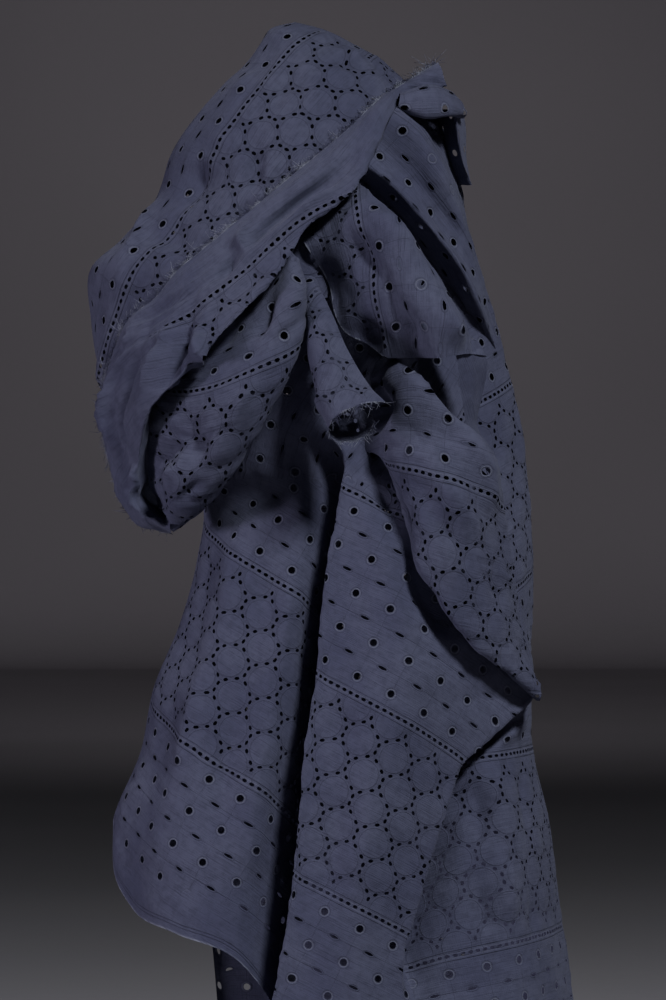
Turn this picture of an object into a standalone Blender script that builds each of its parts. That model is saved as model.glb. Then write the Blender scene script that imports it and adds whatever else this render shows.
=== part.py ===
"""Eyelet fabric: one cut length of cotton cloth with embroidered eyelets, draped over a hidden
support. The cloth closes round the support, so it is hollow and open at the bottom. Its front
layers are a bunched wrap, a bag of slack, a flap, a rolled tail, a swag and a lobe.

Tables are in millimetres: across to the right, down, forward to the viewer, from a point in
the upper part of the cloth. Scene units are metres, +Z up, the viewer looks along +Y, and the
scene's origin is the hanging point, just under the top of the cloth.
"""

import math
from collections import namedtuple

import bmesh
import bpy
import numpy as np

MM = 0.001
CLOTH_THICKNESS = 2.0 * MM
APEX = (-19.0, -24.0, 0.0)
HANGING_POINT = (-19.0, -22.5, 0.0)
# Rows of the drape: bands from one height down to the next, then a last band to each hem.
ROW_BANDS = ((-24, -4, 3), (-4, 92, 5), (92, 284, 10), (284, 344, 5))
HEM_ROWS = 7
ROUTE_STEPS = 160
WELD = 0.00002

# The closed part of the drape, a row per height: half outlines left and right of the middle,
# and how far the cloth stands out to the front and to the back.
Height = namedtuple("Height", "down left right front back")
HEIGHTS = (
    Height(-20, -32, -4, 12, 12),
    Height(-12, -37, 12, 24, 24),
    Height(-5, -42, 24, 32, 34),
    Height(8, -55, 38, 43, 45),
    Height(20, -66, 49, 50, 52),
    Height(40, -80, 59, 57, 60),
    Height(65, -89, 65, 62, 64),
    Height(85, -106, 68, 64, 66),
    Height(99, -121, 72, 64, 67),
    Height(125, -121, 81, 64, 68),
    Height(150, -117, 87, 62, 70),
    Height(175, -108, 93, 60, 72),
    Height(195, -90, 96, 58, 73),
    Height(215, -66, 98, 58, 74),
    Height(245, -68, 100, 62, 76),
    Height(275, -76, 99, 66, 78),
    Height(310, -90, 98, 70, 82),
    Height(340, -96, 100, 74, 85),
    Height(375, -110, 108, 78, 88),
    Height(415, -112, 113, 82, 92),
    Height(465, -112, 120, 84, 96),
    Height(515, -112, 126, 86, 98),
)

# Lengthwise folds of the drape in order round it, a row per fold: its angle on the round
# upper part, where its hem hangs, how many cells lie between it and the next fold, whether it
# is a pressed crease, and the points (across, down, forward) that it takes lower down.
Fold = namedtuple("Fold", "name angle hem cells crisp points")
FOLDS = (
    Fold("left_side", 180, 375, 1, False, ()),
    Fold("left_turn", 166, 401, 1, False, ()),
    Fold("left_front", 153, 416, 2, False, ()),
    Fold("left_crest", 124, 427, 3, False, (
        (-42, 230, 48), (-50, 265, 52), (-61, 315, 59), (-74, 365, 66), (-77, 440, 72),
    )),
    Fold("left_shoulder", 108, 441, 3, False, (
        (-15, 225, 57), (-20, 265, 61), (-26, 315, 67), (-37, 365, 73), (-44, 415, 77),
        (-45, 460, 78),
    )),
    Fold("valley", 97, 488, 1, False, (
        (7, 205, 42), (2, 245, 40), (0, 275, 38), (-5, 315, 38), (-9, 365, 40),
        (-14, 415, 42), (-18, 452, 44), (-19, 515, 45),
    )),
    Fold("panel_edge", 90, 515, 3, True, (
        (5, 192, 64), (2.5, 215, 68), (-3, 245, 72), (-6.5, 275, 76), (-9, 305, 80),
        (-14, 335, 84), (-16.5, 365, 88), (-20, 400, 90), (-24, 430, 92), (-31.5, 465, 94),
        (-36, 515, 96),
    )),
    Fold("panel_middle", 72, 515, 3, False, (
        (26, 215, 74), (32, 245, 80), (35, 275, 86), (36, 305, 90), (28, 335, 92),
        (21, 365, 94), (14, 400, 96), (8, 430, 97), (9, 465, 98), (10, 515, 99),
    )),
    Fold("panel_right", 50, 515, 1, True, (
        (61, 215, 62), (73, 245, 62), (86, 275, 58), (97, 302, 48), (100, 310, 44),
        (94, 318, 52), (84, 326, 60), (74, 335, 66), (64, 344, 72), (56, 365, 78),
        (48, 390, 82), (41, 415, 86), (35, 435, 89), (34, 465, 90), (36, 515, 92),
    )),
    Fold("tuck", 40, 515, 1, False, (
        (72, 215, 50), (84, 245, 50), (93, 275, 46), (99, 302, 34), (99, 310, 30),
        (93, 318, 38), (82, 326, 44), (71, 335, 48), (60, 344, 52), (50, 365, 56),
        (43, 390, 58), (36, 415, 62), (33, 435, 70), (42, 465, 86), (46, 515, 90),
    )),
    Fold("right_turn", 28, 515, 2, False, (
        (82, 215, 40), (91, 245, 40), (96, 275, 34), (99, 310, 20), (93, 326, 40),
        (71, 344, 58), (67, 365, 64), (62, 390, 70), (57, 415, 74), (52, 435, 78),
        (54, 465, 84), (56, 515, 88),
    )),
    Fold("right_crest", 15, 515, 2, False, (
        (91, 215, 26), (96, 245, 26), (98, 275, 20), (98.5, 310, 10), (96, 326, 26),
        (87, 344, 46), (88, 365, 56), (88, 390, 62), (87, 415, 66), (86, 435, 70),
        (88, 465, 74), (92, 515, 76),
    )),
    Fold("right_side", 0, 515, 2, False, ()),
    Fold("back_1", -24, 517, 2, False, ()),
    Fold("back_2", -47, 514, 2, False, ()),
    Fold("back_3", -68, 518, 2, False, ()),
    Fold("back_4", -90, 515, 2, False, ()),
    Fold("back_5", -106, 517, 2, False, ()),
    Fold("back_edge", -121, 515, 1, False, ()),
    Fold("back_corner", -125, 432, 1, False, ()),
    Fold("back_left", -145, 410, 1, False, ()),
    Fold("back_side", -163, 388, 1, False, ()),
)
BACK_RIPPLE = 0.16
BACK_RIPPLE_TURNS = 5
RIPPLE_FULL_DOWN = 380.0

# Layers in front of the drape. Each guide is a line of the cloth, a fold or a free edge, as
# points (across, down, forward), and the layer is carried from one guide to the next.
Layer = namedtuple("Layer", "name rows cells crisp guides")

WRAP = Layer("wrap", 24, (2, 2, 2, 1, 1), (3,), (
    # raw edge
    ((52, -2, 26), (36, 8, 30), (22, 18, 47), (8, 32, 58), (-7, 45, 63), (-31, 65, 65),
     (-64, 92, 63), (-76, 102, 60), (-87, 115, 54), (-102, 127, 44), (-108, 140, 36),
     (-114, 158, 25), (-115, 178, 20), (-111, 198, 20), (-105, 216, 24), (-97, 226, 30),
     (-80, 231.5, 34)),
    # soft ridge along the strip
    ((54, 2, 30), (37, 10, 37), (25, 20, 56), (13, 35, 67), (0, 50, 73), (-24, 70, 75),
     (-54, 99, 75), (-67, 111, 73), (-79, 124, 68), (-93, 136, 61), (-100, 148, 53),
     (-107, 163, 42), (-108, 182, 38), (-106, 201, 38), (-104, 216, 40), (-96, 225, 42),
     (-80, 230.5, 46)),
    # soft hollow along the strip
    ((55, 6, 30), (37, 12, 38), (27, 22, 57), (17, 38, 70), (6, 55, 75), (-18, 76, 77),
     (-45, 107, 82), (-58, 120, 82), (-71, 133, 79), (-84, 145, 74), (-92, 156, 68),
     (-99, 168, 60), (-101, 185, 53), (-102, 202, 48), (-102.5, 215.5, 49), (-95, 224, 50),
     (-80, 229.5, 54)),
    # turned lower edge
    ((56.5, 10, 30), (38, 15, 37), (29.5, 25, 56), (22, 41, 70), (13, 60, 79), (-11, 82, 83),
     (-35, 115, 92), (-49, 130, 95), (-62, 143, 94), (-74, 155, 90), (-84, 165, 83),
     (-91, 174, 74), (-94, 188, 64), (-97, 203, 55), (-100, 215, 55), (-93, 222, 56),
     (-80, 227.5, 58)),
    # under the turned edge
    ((52, 8, 18), (33, 12, 24), (24, 21, 42), (13, 37, 54), (3, 54, 60), (-21, 74, 62),
     (-46, 106, 62), (-59, 120, 62), (-72, 133, 58), (-83, 146, 52), (-91, 159, 46),
     (-90, 176, 42), (-88, 188, 40), (-90, 201, 38), (-94, 211, 36), (-89, 217, 38),
     (-79, 222, 42)),
    # root, inside the drape
    ((43, 4, 2), (26, 10, 12), (15, 20, 30), (3, 34, 42), (-8, 48, 48), (-32, 68, 48),
     (-56, 97, 46), (-68, 110, 44), (-79, 123, 38), (-88, 137, 30), (-94, 152, 22),
     (-92, 170, 18), (-88, 184, 14), (-84, 196, 14), (-84, 204, 14), (-80, 208, 20),
     (-75, 212, 26)),
))

BAG = Layer("bag", 13, (2, 2, 2, 1, 1), (), (
    # under the wrap's turned edge
    ((-26, 88, 66), (-36, 106, 70), (-49, 121, 72), (-64, 136, 72), (-79, 152, 66),
     (-90, 172, 58), (-91, 192, 50), (-90, 208, 44), (-86, 218, 42)),
    # shaded hollow along the wrap
    ((-23, 91, 70), (-29, 108, 77), (-40, 124, 80), (-53, 140, 81), (-67, 157, 78),
     (-78, 176, 72), (-83, 195, 64), (-85, 211, 55), (-84, 221, 47)),
    # crown of the slack
    ((-20, 94, 73), (-20, 110, 86), (-25, 128, 93), (-33, 148, 97), (-45, 168, 98),
     (-56, 187, 94), (-66, 203, 86), (-76, 217, 74), (-82, 226, 54)),
    # rounded lower outline
    ((-17, 97, 72), (-14, 111, 82), (-15, 127, 88), (-20, 146, 92), (-30, 167, 92),
     (-41, 186, 88), (-52, 204, 80), (-66, 220, 68), (-79, 230, 52)),
    # turned behind
    ((-18, 97, 62), (-17, 112, 64), (-18, 129, 66), (-24, 147, 66), (-35, 168, 64),
     (-46, 186, 60), (-58, 203, 52), (-71, 218, 42), (-81, 228, 38)),
    # root, inside the drape
    ((-24, 96, 48), (-26, 112, 46), (-28, 129, 46), (-34, 146, 44), (-46, 165, 40),
     (-58, 180, 34), (-69, 194, 26), (-79, 208, 20), (-86, 220, 24)),
))

FLAP = Layer("flap", 10, (2, 2, 2, 1, 1), (4,), (
    # lower left free edge
    ((-20, 80, 54), (-13, 92, 74), (-7, 108, 82), (5, 134, 84), (15, 141, 86), (27, 146, 88)),
    # shaded face
    ((-14, 76, 56), (0, 84, 76), (10, 106, 88), (22, 128, 92), (32, 139, 92), (40, 146, 92)),
    # bend between the shaded and the lit face
    ((-4, 66, 56), (9, 74, 78), (26, 94, 92), (41, 115, 98), (49, 131, 98), (54, 146, 96)),
    # lit face
    ((6, 60, 56), (16, 68, 78), (34, 86, 90), (49, 107, 94), (60, 126, 94), (66, 144, 90)),
    # upper edge, running to the corner
    ((12, 58, 56), (20, 66, 74), (34, 81, 82), (46, 98, 84), (58, 118, 84), (74.5, 145, 80)),
    # turned under
    ((10, 62, 44), (17, 70, 56), (30, 86, 62), (42, 103, 64), (54, 122, 64), (70, 145, 68)),
))

CORNER = Layer("corner", 7, (1, 1), (), (
    # left edge of the hanging corner
    ((56, 138, 92), (59, 144, 84), (62, 163, 78), (66, 180, 74), (73, 189, 66)),
    # its middle
    ((64, 136, 88), (67, 144, 78), (69, 163, 71), (69, 180, 69), (75, 189, 64)),
    # its right edge
    ((71, 138, 80), (74.5, 146, 70), (73.5, 162, 65), (70.5, 178, 66), (77, 190, 60)),
))

RIGHT_FOLDS = Layer("right_folds", 11, (1, 2, 2, 1), (1,), (
    # groove under the ridge
    ((2, 52, 50), (20, 66, 50), (35, 82, 46), (48, 98, 40), (61, 117, 30), (77, 144, 8)),
    # narrow ridge
    ((14, 50, 68), (29, 61, 69), (44, 77, 64), (58, 93, 57), (70, 114, 46), (82, 144, 14)),
    # hollow beside the ridge
    ((22, 40, 60), (35, 54, 58), (48, 71, 52), (61, 88, 44), (71, 108, 35), (82, 136, 8)),
    # outer crest
    ((30, 24, 58), (41, 36, 60), (51, 51, 56), (60, 68, 48), (68, 88, 36), (79, 120, 6)),
    # root on the drape
    ((36, 18, 28), (46, 30, 28), (56, 46, 22), (63, 64, 16), (68, 84, 8), (77, 112, -2)),
))

LOBE = Layer("lobe", 7, (1, 2, 1), (), (
    # root under the wrap
    ((30, 18, 34), (42, 14, 30), (52, 13, 16), (56, 16, 4)),
    # upper face
    ((33, 16, 54), (46, 13, 54), (58, 15, 42), (64, 18, 26)),
    # lower lip
    ((32, 22, 56), (46, 26, 58), (58, 25, 48), (66, 24, 30)),
    # turned under
    ((30, 24, 40), (44, 25, 38), (54, 24, 28), (60, 24, 16)),
))

DROP = Layer("drop", 6, (2, 1), (1,), (
    # shaded side, toward the drape
    ((48, 20, 10), (52, 34, 12), (56, 46, 12), (60, 58, 10)),
    # front edge
    ((61, 22, 34), (62, 34, 32), (64, 46, 28), (69, 58.5, 20)),
    # outer side
    ((64, 20, 16), (66, 34, 8), (67, 46, 4), (69, 57, 4)),
))

SWAG = Layer("swag", 15, (1, 2, 2, 2, 1), (1,), (
    # root of the upper edge
    ((22, 141, 54), (31, 148, 59), (46, 164, 60), (64, 184, 54), (76, 202, 40), (82, 228, 28),
     (88, 264, 22), (95, 303, 26)),
    # upper edge
    ((25, 142, 61), (34, 149, 79), (49, 165, 84), (68, 185, 80), (79, 202, 70),
     (85, 228, 60), (91, 266, 52), (99.5, 303, 44)),
    # upper face
    ((18, 155, 59), (28, 161, 84), (41, 180, 94), (56, 205, 97), (68, 230, 91),
     (78, 258, 80), (88, 284, 67), (101.5, 306, 54)),
    # lower face
    ((14, 172, 59), (24, 177, 84), (35, 205, 96), (46, 232, 103), (59, 255, 100),
     (73, 275, 89), (87, 292, 74), (102, 310.5, 57)),
    # lower fold
    ((13, 190, 58), (22, 194, 80), (29, 220, 92), (40, 248, 101), (54, 269, 101),
     (70, 288, 91), (86, 300, 75), (101, 314, 53)),
    # turned under
    ((16, 186, 50), (24, 190, 62), (32, 214, 64), (44, 240, 68), (58, 260, 68),
     (72, 279, 62), (86, 295, 50), (97, 312, 38)),
))

# The rolled tail, a row per ring: its centre (across, down, forward), its radius and how far
# the outer edge of the roll has lifted away.
Ring = namedtuple("Ring", "across down forward radius lift")
TAIL = (
    Ring(-12, 106, 58, 3.5, 0.0),
    Ring(-10, 114, 70, 4.5, 0.0),
    Ring(-6.5, 127, 80, 7, 0.0),
    Ring(-3, 143, 90, 9.5, 0.5),
    Ring(2, 159, 95, 11.5, 2.0),
    Ring(6, 171, 101, 12.0, 5.0),
    Ring(9, 179, 108, 11.5, 9.0),
)
TAIL_SIDES = 13
TAIL_ROWS = 8
TAIL_FREE_ANGLE = 20.0
TAIL_ROLL_ANGLE = 325.0

CLOTH_COLOUR = (0.075, 0.085, 0.135, 1.0)


def clear_scene():
    for old in list(bpy.data.objects):
        bpy.data.objects.remove(old, do_unlink=True)


def slopes(points, knots, creases):
    """Slopes before and after each knot of a smooth curve, broken at the creases."""
    ends = (-1,) + (1,) * (points.ndim - 1)
    steps = np.diff(knots).reshape(ends)
    chords = np.diff(points, axis=0) / steps
    before = np.concatenate([chords[:1], chords])
    after = np.concatenate([chords, chords[-1:]])
    inner = (chords[:-1] * steps[1:] + chords[1:] * steps[:-1]) / (steps[1:] + steps[:-1])
    keep = [i for i in range(1, len(points) - 1) if i not in creases]
    for i in keep:
        before[i] = inner[i - 1]
        after[i] = inner[i - 1]
    return before, after


def curve(points, knots, where, creases=()):
    """Points at the given knot values of the smooth curve through these points."""
    points = np.asarray(points, float)
    knots = np.asarray(knots, float)
    where = np.asarray(where, float)
    before, after = slopes(points, knots, creases)
    cell = np.clip(np.searchsorted(knots, where, side="right") - 1, 0, len(knots) - 2)
    length = knots[cell + 1] - knots[cell]
    t = (where - knots[cell]) / length
    shape = (-1,) + (1,) * (points.ndim - 1)
    t = t.reshape(shape)
    length = length.reshape(shape)
    start = points[cell] * (2 * t**3 - 3 * t**2 + 1)
    leave = after[cell] * length * (t**3 - 2 * t**2 + t)
    end = points[cell + 1] * (3 * t**2 - 2 * t**3)
    reach = before[cell + 1] * length * (t**3 - t**2)
    return start + leave + end + reach


def chord_knots(points):
    steps = np.linalg.norm(np.diff(points, axis=0), axis=-1)
    return np.concatenate([[0.0], np.cumsum(np.maximum(steps, 1e-6))])


def even_route(points, count):
    """A smooth route through the points, read at evenly spaced places."""
    points = np.asarray(points, float)
    knots = chord_knots(points)
    fine = curve(points, knots, np.linspace(0, knots[-1], ROUTE_STEPS))
    along = chord_knots(fine)
    places = np.linspace(0, along[-1], count)
    return np.stack([np.interp(places, along, fine[:, axis]) for axis in range(3)], axis=1)


def loft(guides, cells, creases=()):
    """A grid carried across the guides, with this many cells between one and the next."""
    guides = np.asarray(guides, float)
    gaps = np.linalg.norm(np.diff(guides, axis=0), axis=-1).mean(axis=1)
    knots = np.concatenate([[0.0], np.cumsum(gaps)])
    where = [knots[0]]
    for i, count in enumerate(cells):
        where.extend(np.linspace(knots[i], knots[i + 1], count + 1)[1:])
    return curve(guides, knots, where, creases)


def to_scene(points):
    points = np.asarray(points, float) - np.array(HANGING_POINT)
    return np.stack([points[..., 0], -points[..., 2], -points[..., 1]], axis=-1) * MM


def on_outline(row, angle):
    """A point of the closed outline, with soft hanging folds behind that deepen downward."""
    middle = (row.left + row.right) / 2
    half = (row.right - row.left) / 2
    turn = math.radians(angle)
    rise = math.sin(turn)
    if rise >= 0:
        return (middle + half * math.cos(turn), row.down, row.front * rise)
    fullness = min(max((row.down + 10) / RIPPLE_FULL_DOWN, 0.0), 1.0)
    ripple = 1 + BACK_RIPPLE * fullness * math.sin(BACK_RIPPLE_TURNS * turn) * -rise
    return (middle + half * math.cos(turn), row.down, row.back * rise * ripple)


def fold_line(fold):
    """One fold from the apex to the hem, with its points level with those of the others."""
    first = fold.points[0][1] if fold.points else 1e9
    upper = [on_outline(row, fold.angle) for row in HEIGHTS if row.down < first - 12]
    route = np.array([APEX] + upper + list(fold.points), float)
    knots = chord_knots(route)
    fine = curve(route, knots, np.linspace(0, knots[-1], ROUTE_STEPS))
    downs = [np.linspace(top, low, rows + 1)[:-1] for top, low, rows in ROW_BANDS]
    last = ROW_BANDS[-1][1]
    downs = np.concatenate(downs + [np.linspace(last, fold.hem, HEM_ROWS + 1)])
    reached = np.maximum.accumulate(fine[:, 1])
    across = np.interp(downs, reached, fine[:, 0])
    forward = np.interp(downs, reached, fine[:, 2])
    return np.stack([across, downs, forward], axis=1)


def fall_grid():
    guides = [fold_line(fold) for fold in FOLDS]
    guides.append(guides[0])
    creases = [i for i, fold in enumerate(FOLDS) if fold.crisp]
    return loft(guides, [fold.cells for fold in FOLDS], creases)


def layer_grid(layer):
    guides = [even_route(guide, layer.rows) for guide in layer.guides]
    return loft(guides, layer.cells, layer.crisp)


def tail_grid():
    """Rings across the line of the tail, each rolled a little less than once round."""
    centres = np.array([ring[:3] for ring in TAIL], float)
    knots = chord_knots(centres)
    places = np.linspace(0, knots[-1], TAIL_ROWS)
    spine = curve(centres, knots, places)
    radius = np.interp(places, knots, [ring.radius for ring in TAIL])
    lift = np.interp(places, knots, [ring.lift for ring in TAIL])
    columns = []
    for i, centre in enumerate(spine):
        ahead = spine[min(i + 1, len(spine) - 1)] - spine[max(i - 1, 0)]
        ahead /= np.linalg.norm(ahead)
        side = np.cross(ahead, (0.0, 0.0, 1.0))
        side /= np.linalg.norm(side)
        front = np.cross(side, ahead)
        ring = []
        for step in range(TAIL_SIDES + 1):
            share = step / TAIL_SIDES
            turn = math.radians(TAIL_FREE_ANGLE + share * TAIL_ROLL_ANGLE)
            reach = radius[i] + lift[i] * max(0.0, 1 - share * 4) ** 2
            ring.append(centre + reach * (math.cos(turn) * side + math.sin(turn) * front))
        columns.append(ring)
    return np.swapaxes(np.array(columns), 0, 1)


def sheet_object(name, grid, collection, material):
    """An open sheet from a grid of points, thickened to cloth."""
    across, along = grid.shape[:2]
    points = to_scene(grid).reshape(-1, 3)
    mesh = bpy.data.meshes.new(name)
    faces = []
    for i in range(across - 1):
        for j in range(along - 1):
            corner = i * along + j
            faces.append((corner, corner + along, corner + along + 1, corner + 1))
    mesh.from_pydata(points.tolist(), [], faces)
    form = bmesh.new()
    form.from_mesh(mesh)
    bmesh.ops.remove_doubles(form, verts=form.verts, dist=WELD)
    bmesh.ops.recalc_face_normals(form, faces=form.faces)
    form.to_mesh(mesh)
    form.free()
    mesh.materials.append(material)
    sheet = bpy.data.objects.new(name, mesh)
    collection.objects.link(sheet)
    solid = sheet.modifiers.new("Cloth thickness", "SOLIDIFY")
    solid.thickness = CLOTH_THICKNESS
    solid.offset = 0.0
    solid.use_even_offset = False
    return sheet


def cloth_material():
    material = bpy.data.materials.new("Slate cotton")
    material.use_nodes = True
    shader = material.node_tree.nodes["Principled BSDF"]
    shader.inputs["Base Color"].default_value = CLOTH_COLOUR
    shader.inputs["Roughness"].default_value = 0.95
    material.diffuse_color = CLOTH_COLOUR
    return material


def main():
    clear_scene()
    bpy.context.scene.unit_settings.scale_length = 1.0
    fabric = bpy.data.collections.new("Eyelet fabric")
    layers = bpy.data.collections.new("Joined layers")
    bpy.context.scene.collection.children.link(fabric)
    bpy.context.scene.collection.children.link(layers)
    material = cloth_material()
    cloth = sheet_object("cloth", fall_grid(), fabric, material)
    grids = [(layer.name, layer_grid(layer)) for layer in (
        RIGHT_FOLDS, LOBE, DROP, SWAG, BAG, FLAP, CORNER, WRAP,
    )]
    grids.append(("tail", tail_grid()))
    for name, grid in grids:
        layer = sheet_object(name, grid, layers, material)
        layer.hide_render = True
        layer.display_type = "WIRE"
        join = cloth.modifiers.new("Join " + name, "BOOLEAN")
        join.operation = "UNION"
        join.solver = "EXACT"
        join.object = layer


main()
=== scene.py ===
"""Eyelet fabric: the cloth itself, its frayed threads, and a plain stage to see them on.

The cloth is one thin sheet. Its surface repeats the folds of the frame's cloth node. Each panel
of it is laid out flat, the eyelets are cut in the flat panel, and it is carried back onto the
folds. Tables are in millimetres: across to the right, down, and forward to the viewer.
"""

import math
from collections import namedtuple

import bmesh
import bpy
import numpy as np
from bpy.props import FloatProperty, FloatVectorProperty, PointerProperty
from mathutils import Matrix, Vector, bvhtree, kdtree, noise
from mathutils.geometry import delaunay_2d_cdt


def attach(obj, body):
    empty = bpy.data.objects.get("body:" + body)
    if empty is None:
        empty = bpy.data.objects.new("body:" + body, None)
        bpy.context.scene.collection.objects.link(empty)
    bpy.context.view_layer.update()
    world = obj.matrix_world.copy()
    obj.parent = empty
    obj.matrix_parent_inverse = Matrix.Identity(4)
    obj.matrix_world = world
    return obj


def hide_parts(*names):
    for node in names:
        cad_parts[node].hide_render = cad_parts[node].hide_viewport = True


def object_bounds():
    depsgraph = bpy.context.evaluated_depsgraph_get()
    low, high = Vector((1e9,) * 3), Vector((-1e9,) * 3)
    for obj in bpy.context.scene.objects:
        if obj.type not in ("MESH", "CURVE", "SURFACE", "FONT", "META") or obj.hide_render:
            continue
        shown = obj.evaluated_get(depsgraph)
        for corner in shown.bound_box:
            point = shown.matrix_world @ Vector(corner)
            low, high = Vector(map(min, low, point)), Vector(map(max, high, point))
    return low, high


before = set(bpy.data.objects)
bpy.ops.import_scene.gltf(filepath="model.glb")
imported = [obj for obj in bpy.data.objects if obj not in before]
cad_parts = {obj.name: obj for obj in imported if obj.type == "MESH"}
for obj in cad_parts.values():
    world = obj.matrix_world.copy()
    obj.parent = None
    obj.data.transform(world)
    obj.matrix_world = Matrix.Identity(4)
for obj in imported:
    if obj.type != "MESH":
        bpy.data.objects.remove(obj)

bl_info = {
    "name": "Eyelet fabric",
    "version": (1, 0, 0),
    "blender": (4, 5, 0),
    "location": "View3D > Sidebar > Eyelet fabric",
    "description": "Makes a draped cotton cloth with embroidered eyelets, and a stage for it",
    "category": "Object",
}

CAD_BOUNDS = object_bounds()
MESH_SPACING = 0.0024
MM = 0.001
APEX = (-19.0, -24.0, 0.0)
HANGING_POINT = (-19.0, -22.5, 0.0)
ROUTE_STEPS = 420

# The front view, which the marks below use: half a millimetre a mark, right and down.
MARKS_PER_METRE = 2000.0
VIEW_CENTRE = (333.0, 500.0)
VIEW_TARGET = (0.019, 0.0, -0.2375)
VIEW_LENS = 150.0
VIEW_SENSOR = 24.0
VIEW_DISTANCE = 0.5 * VIEW_LENS / VIEW_SENSOR

# Distance to the wall behind and radius of its bend into the floor, in metres, and the strength of
# the world's light.
WALL_DISTANCE = 9.0
WALL_BEND = 0.3
WORLD_STRENGTH = 0.012

# The closed part of the drape, a row per height: half outlines left and right of the middle,
# and how far the cloth stands out to the front and to the back.
Height = namedtuple("Height", "down left right front back")
HEIGHTS = (
    Height(-20, -32, -4, 12, 12),
    Height(-12, -37, 12, 24, 24),
    Height(-5, -42, 24, 32, 34),
    Height(8, -55, 38, 43, 45),
    Height(20, -66, 49, 50, 52),
    Height(40, -80, 59, 57, 60),
    Height(65, -89, 65, 62, 64),
    Height(85, -106, 68, 64, 66),
    Height(99, -121, 72, 64, 67),
    Height(125, -121, 81, 64, 68),
    Height(150, -117, 87, 62, 70),
    Height(175, -108, 93, 60, 72),
    Height(195, -90, 96, 58, 73),
    Height(215, -66, 98, 58, 74),
    Height(245, -68, 100, 62, 76),
    Height(275, -76, 99, 66, 78),
    Height(310, -90, 98, 70, 82),
    Height(340, -96, 100, 74, 85),
    Height(375, -110, 108, 78, 88),
    Height(415, -112, 113, 82, 92),
    Height(465, -112, 120, 84, 96),
    Height(515, -112, 126, 86, 98),
)

# Lengthwise folds of the drape in order round it, a row per fold: its angle on the round
# upper part, where its hem hangs, how many cells lie between it and the next fold, whether it
# is a pressed crease, and the points (across, down, forward) that it takes lower down.
Fold = namedtuple("Fold", "name angle hem cells crisp points")
FOLDS = (
    Fold("left_side", 180, 375, 1, False, ()),
    Fold("left_turn", 166, 401, 1, False, ()),
    Fold("left_front", 153, 416, 2, False, ()),
    Fold("left_crest", 124, 427, 3, False, (
        (-42, 230, 48), (-50, 265, 52), (-61, 315, 59), (-74, 365, 66), (-77, 440, 72),
    )),
    Fold("left_shoulder", 108, 441, 3, False, (
        (-15, 225, 57), (-20, 265, 61), (-26, 315, 67), (-37, 365, 73), (-44, 415, 77),
        (-45, 460, 78),
    )),
    Fold("valley", 97, 488, 1, False, (
        (7, 205, 42), (2, 245, 40), (0, 275, 38), (-5, 315, 38), (-9, 365, 40),
        (-14, 415, 42), (-18, 452, 44), (-19, 515, 45),
    )),
    Fold("panel_edge", 90, 515, 3, True, (
        (5, 192, 64), (2.5, 215, 68), (-3, 245, 72), (-6.5, 275, 76), (-9, 305, 80),
        (-14, 335, 84), (-16.5, 365, 88), (-20, 400, 90), (-24, 430, 92), (-31.5, 465, 94),
        (-36, 515, 96),
    )),
    Fold("panel_middle", 72, 515, 3, False, (
        (26, 215, 74), (32, 245, 80), (35, 275, 86), (36, 305, 90), (28, 335, 92),
        (21, 365, 94), (14, 400, 96), (8, 430, 97), (9, 465, 98), (10, 515, 99),
    )),
    Fold("panel_right", 50, 515, 1, True, (
        (61, 215, 62), (73, 245, 62), (86, 275, 58), (97, 302, 48), (100, 310, 44),
        (94, 318, 52), (84, 326, 60), (74, 335, 66), (64, 344, 72), (56, 365, 78),
        (48, 390, 82), (41, 415, 86), (35, 435, 89), (34, 465, 90), (36, 515, 92),
    )),
    Fold("tuck", 40, 515, 1, False, (
        (72, 215, 50), (84, 245, 50), (93, 275, 46), (99, 302, 34), (99, 310, 30),
        (93, 318, 38), (82, 326, 44), (71, 335, 48), (60, 344, 52), (50, 365, 56),
        (43, 390, 58), (36, 415, 62), (33, 435, 70), (42, 465, 86), (46, 515, 90),
    )),
    Fold("right_turn", 28, 515, 2, False, (
        (82, 215, 40), (91, 245, 40), (96, 275, 34), (99, 310, 20), (93, 326, 40),
        (71, 344, 58), (67, 365, 64), (62, 390, 70), (57, 415, 74), (52, 435, 78),
        (54, 465, 84), (56, 515, 88),
    )),
    Fold("right_crest", 15, 515, 2, False, (
        (91, 215, 26), (96, 245, 26), (98, 275, 20), (98.5, 310, 10), (96, 326, 26),
        (87, 344, 46), (88, 365, 56), (88, 390, 62), (87, 415, 66), (86, 435, 70),
        (88, 465, 74), (92, 515, 76),
    )),
    Fold("right_side", 0, 515, 2, False, ()),
    Fold("back_1", -24, 517, 2, False, ()),
    Fold("back_2", -47, 514, 2, False, ()),
    Fold("back_3", -68, 518, 2, False, ()),
    Fold("back_4", -90, 515, 2, False, ()),
    Fold("back_5", -106, 517, 2, False, ()),
    Fold("back_edge", -121, 515, 1, False, ()),
    Fold("back_corner", -125, 432, 1, False, ()),
    Fold("back_left", -145, 410, 1, False, ()),
    Fold("back_side", -163, 388, 1, False, ()),
)
BACK_RIPPLE = 0.16
BACK_RIPPLE_TURNS = 5
RIPPLE_FULL_DOWN = 380.0
FALL_FINE = 6
SPLIT_DOWN = 205.0
FAR_FROM_EDGE = 200.0

# Layers in front of the drape. Each guide is a line of the cloth, a fold or a free edge, as
# points (across, down, forward), and the layer is carried from one guide to the next. Crisp
# guides, by number, are pressed creases.
Layer = namedtuple("Layer", "name crisp guides")

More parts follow.
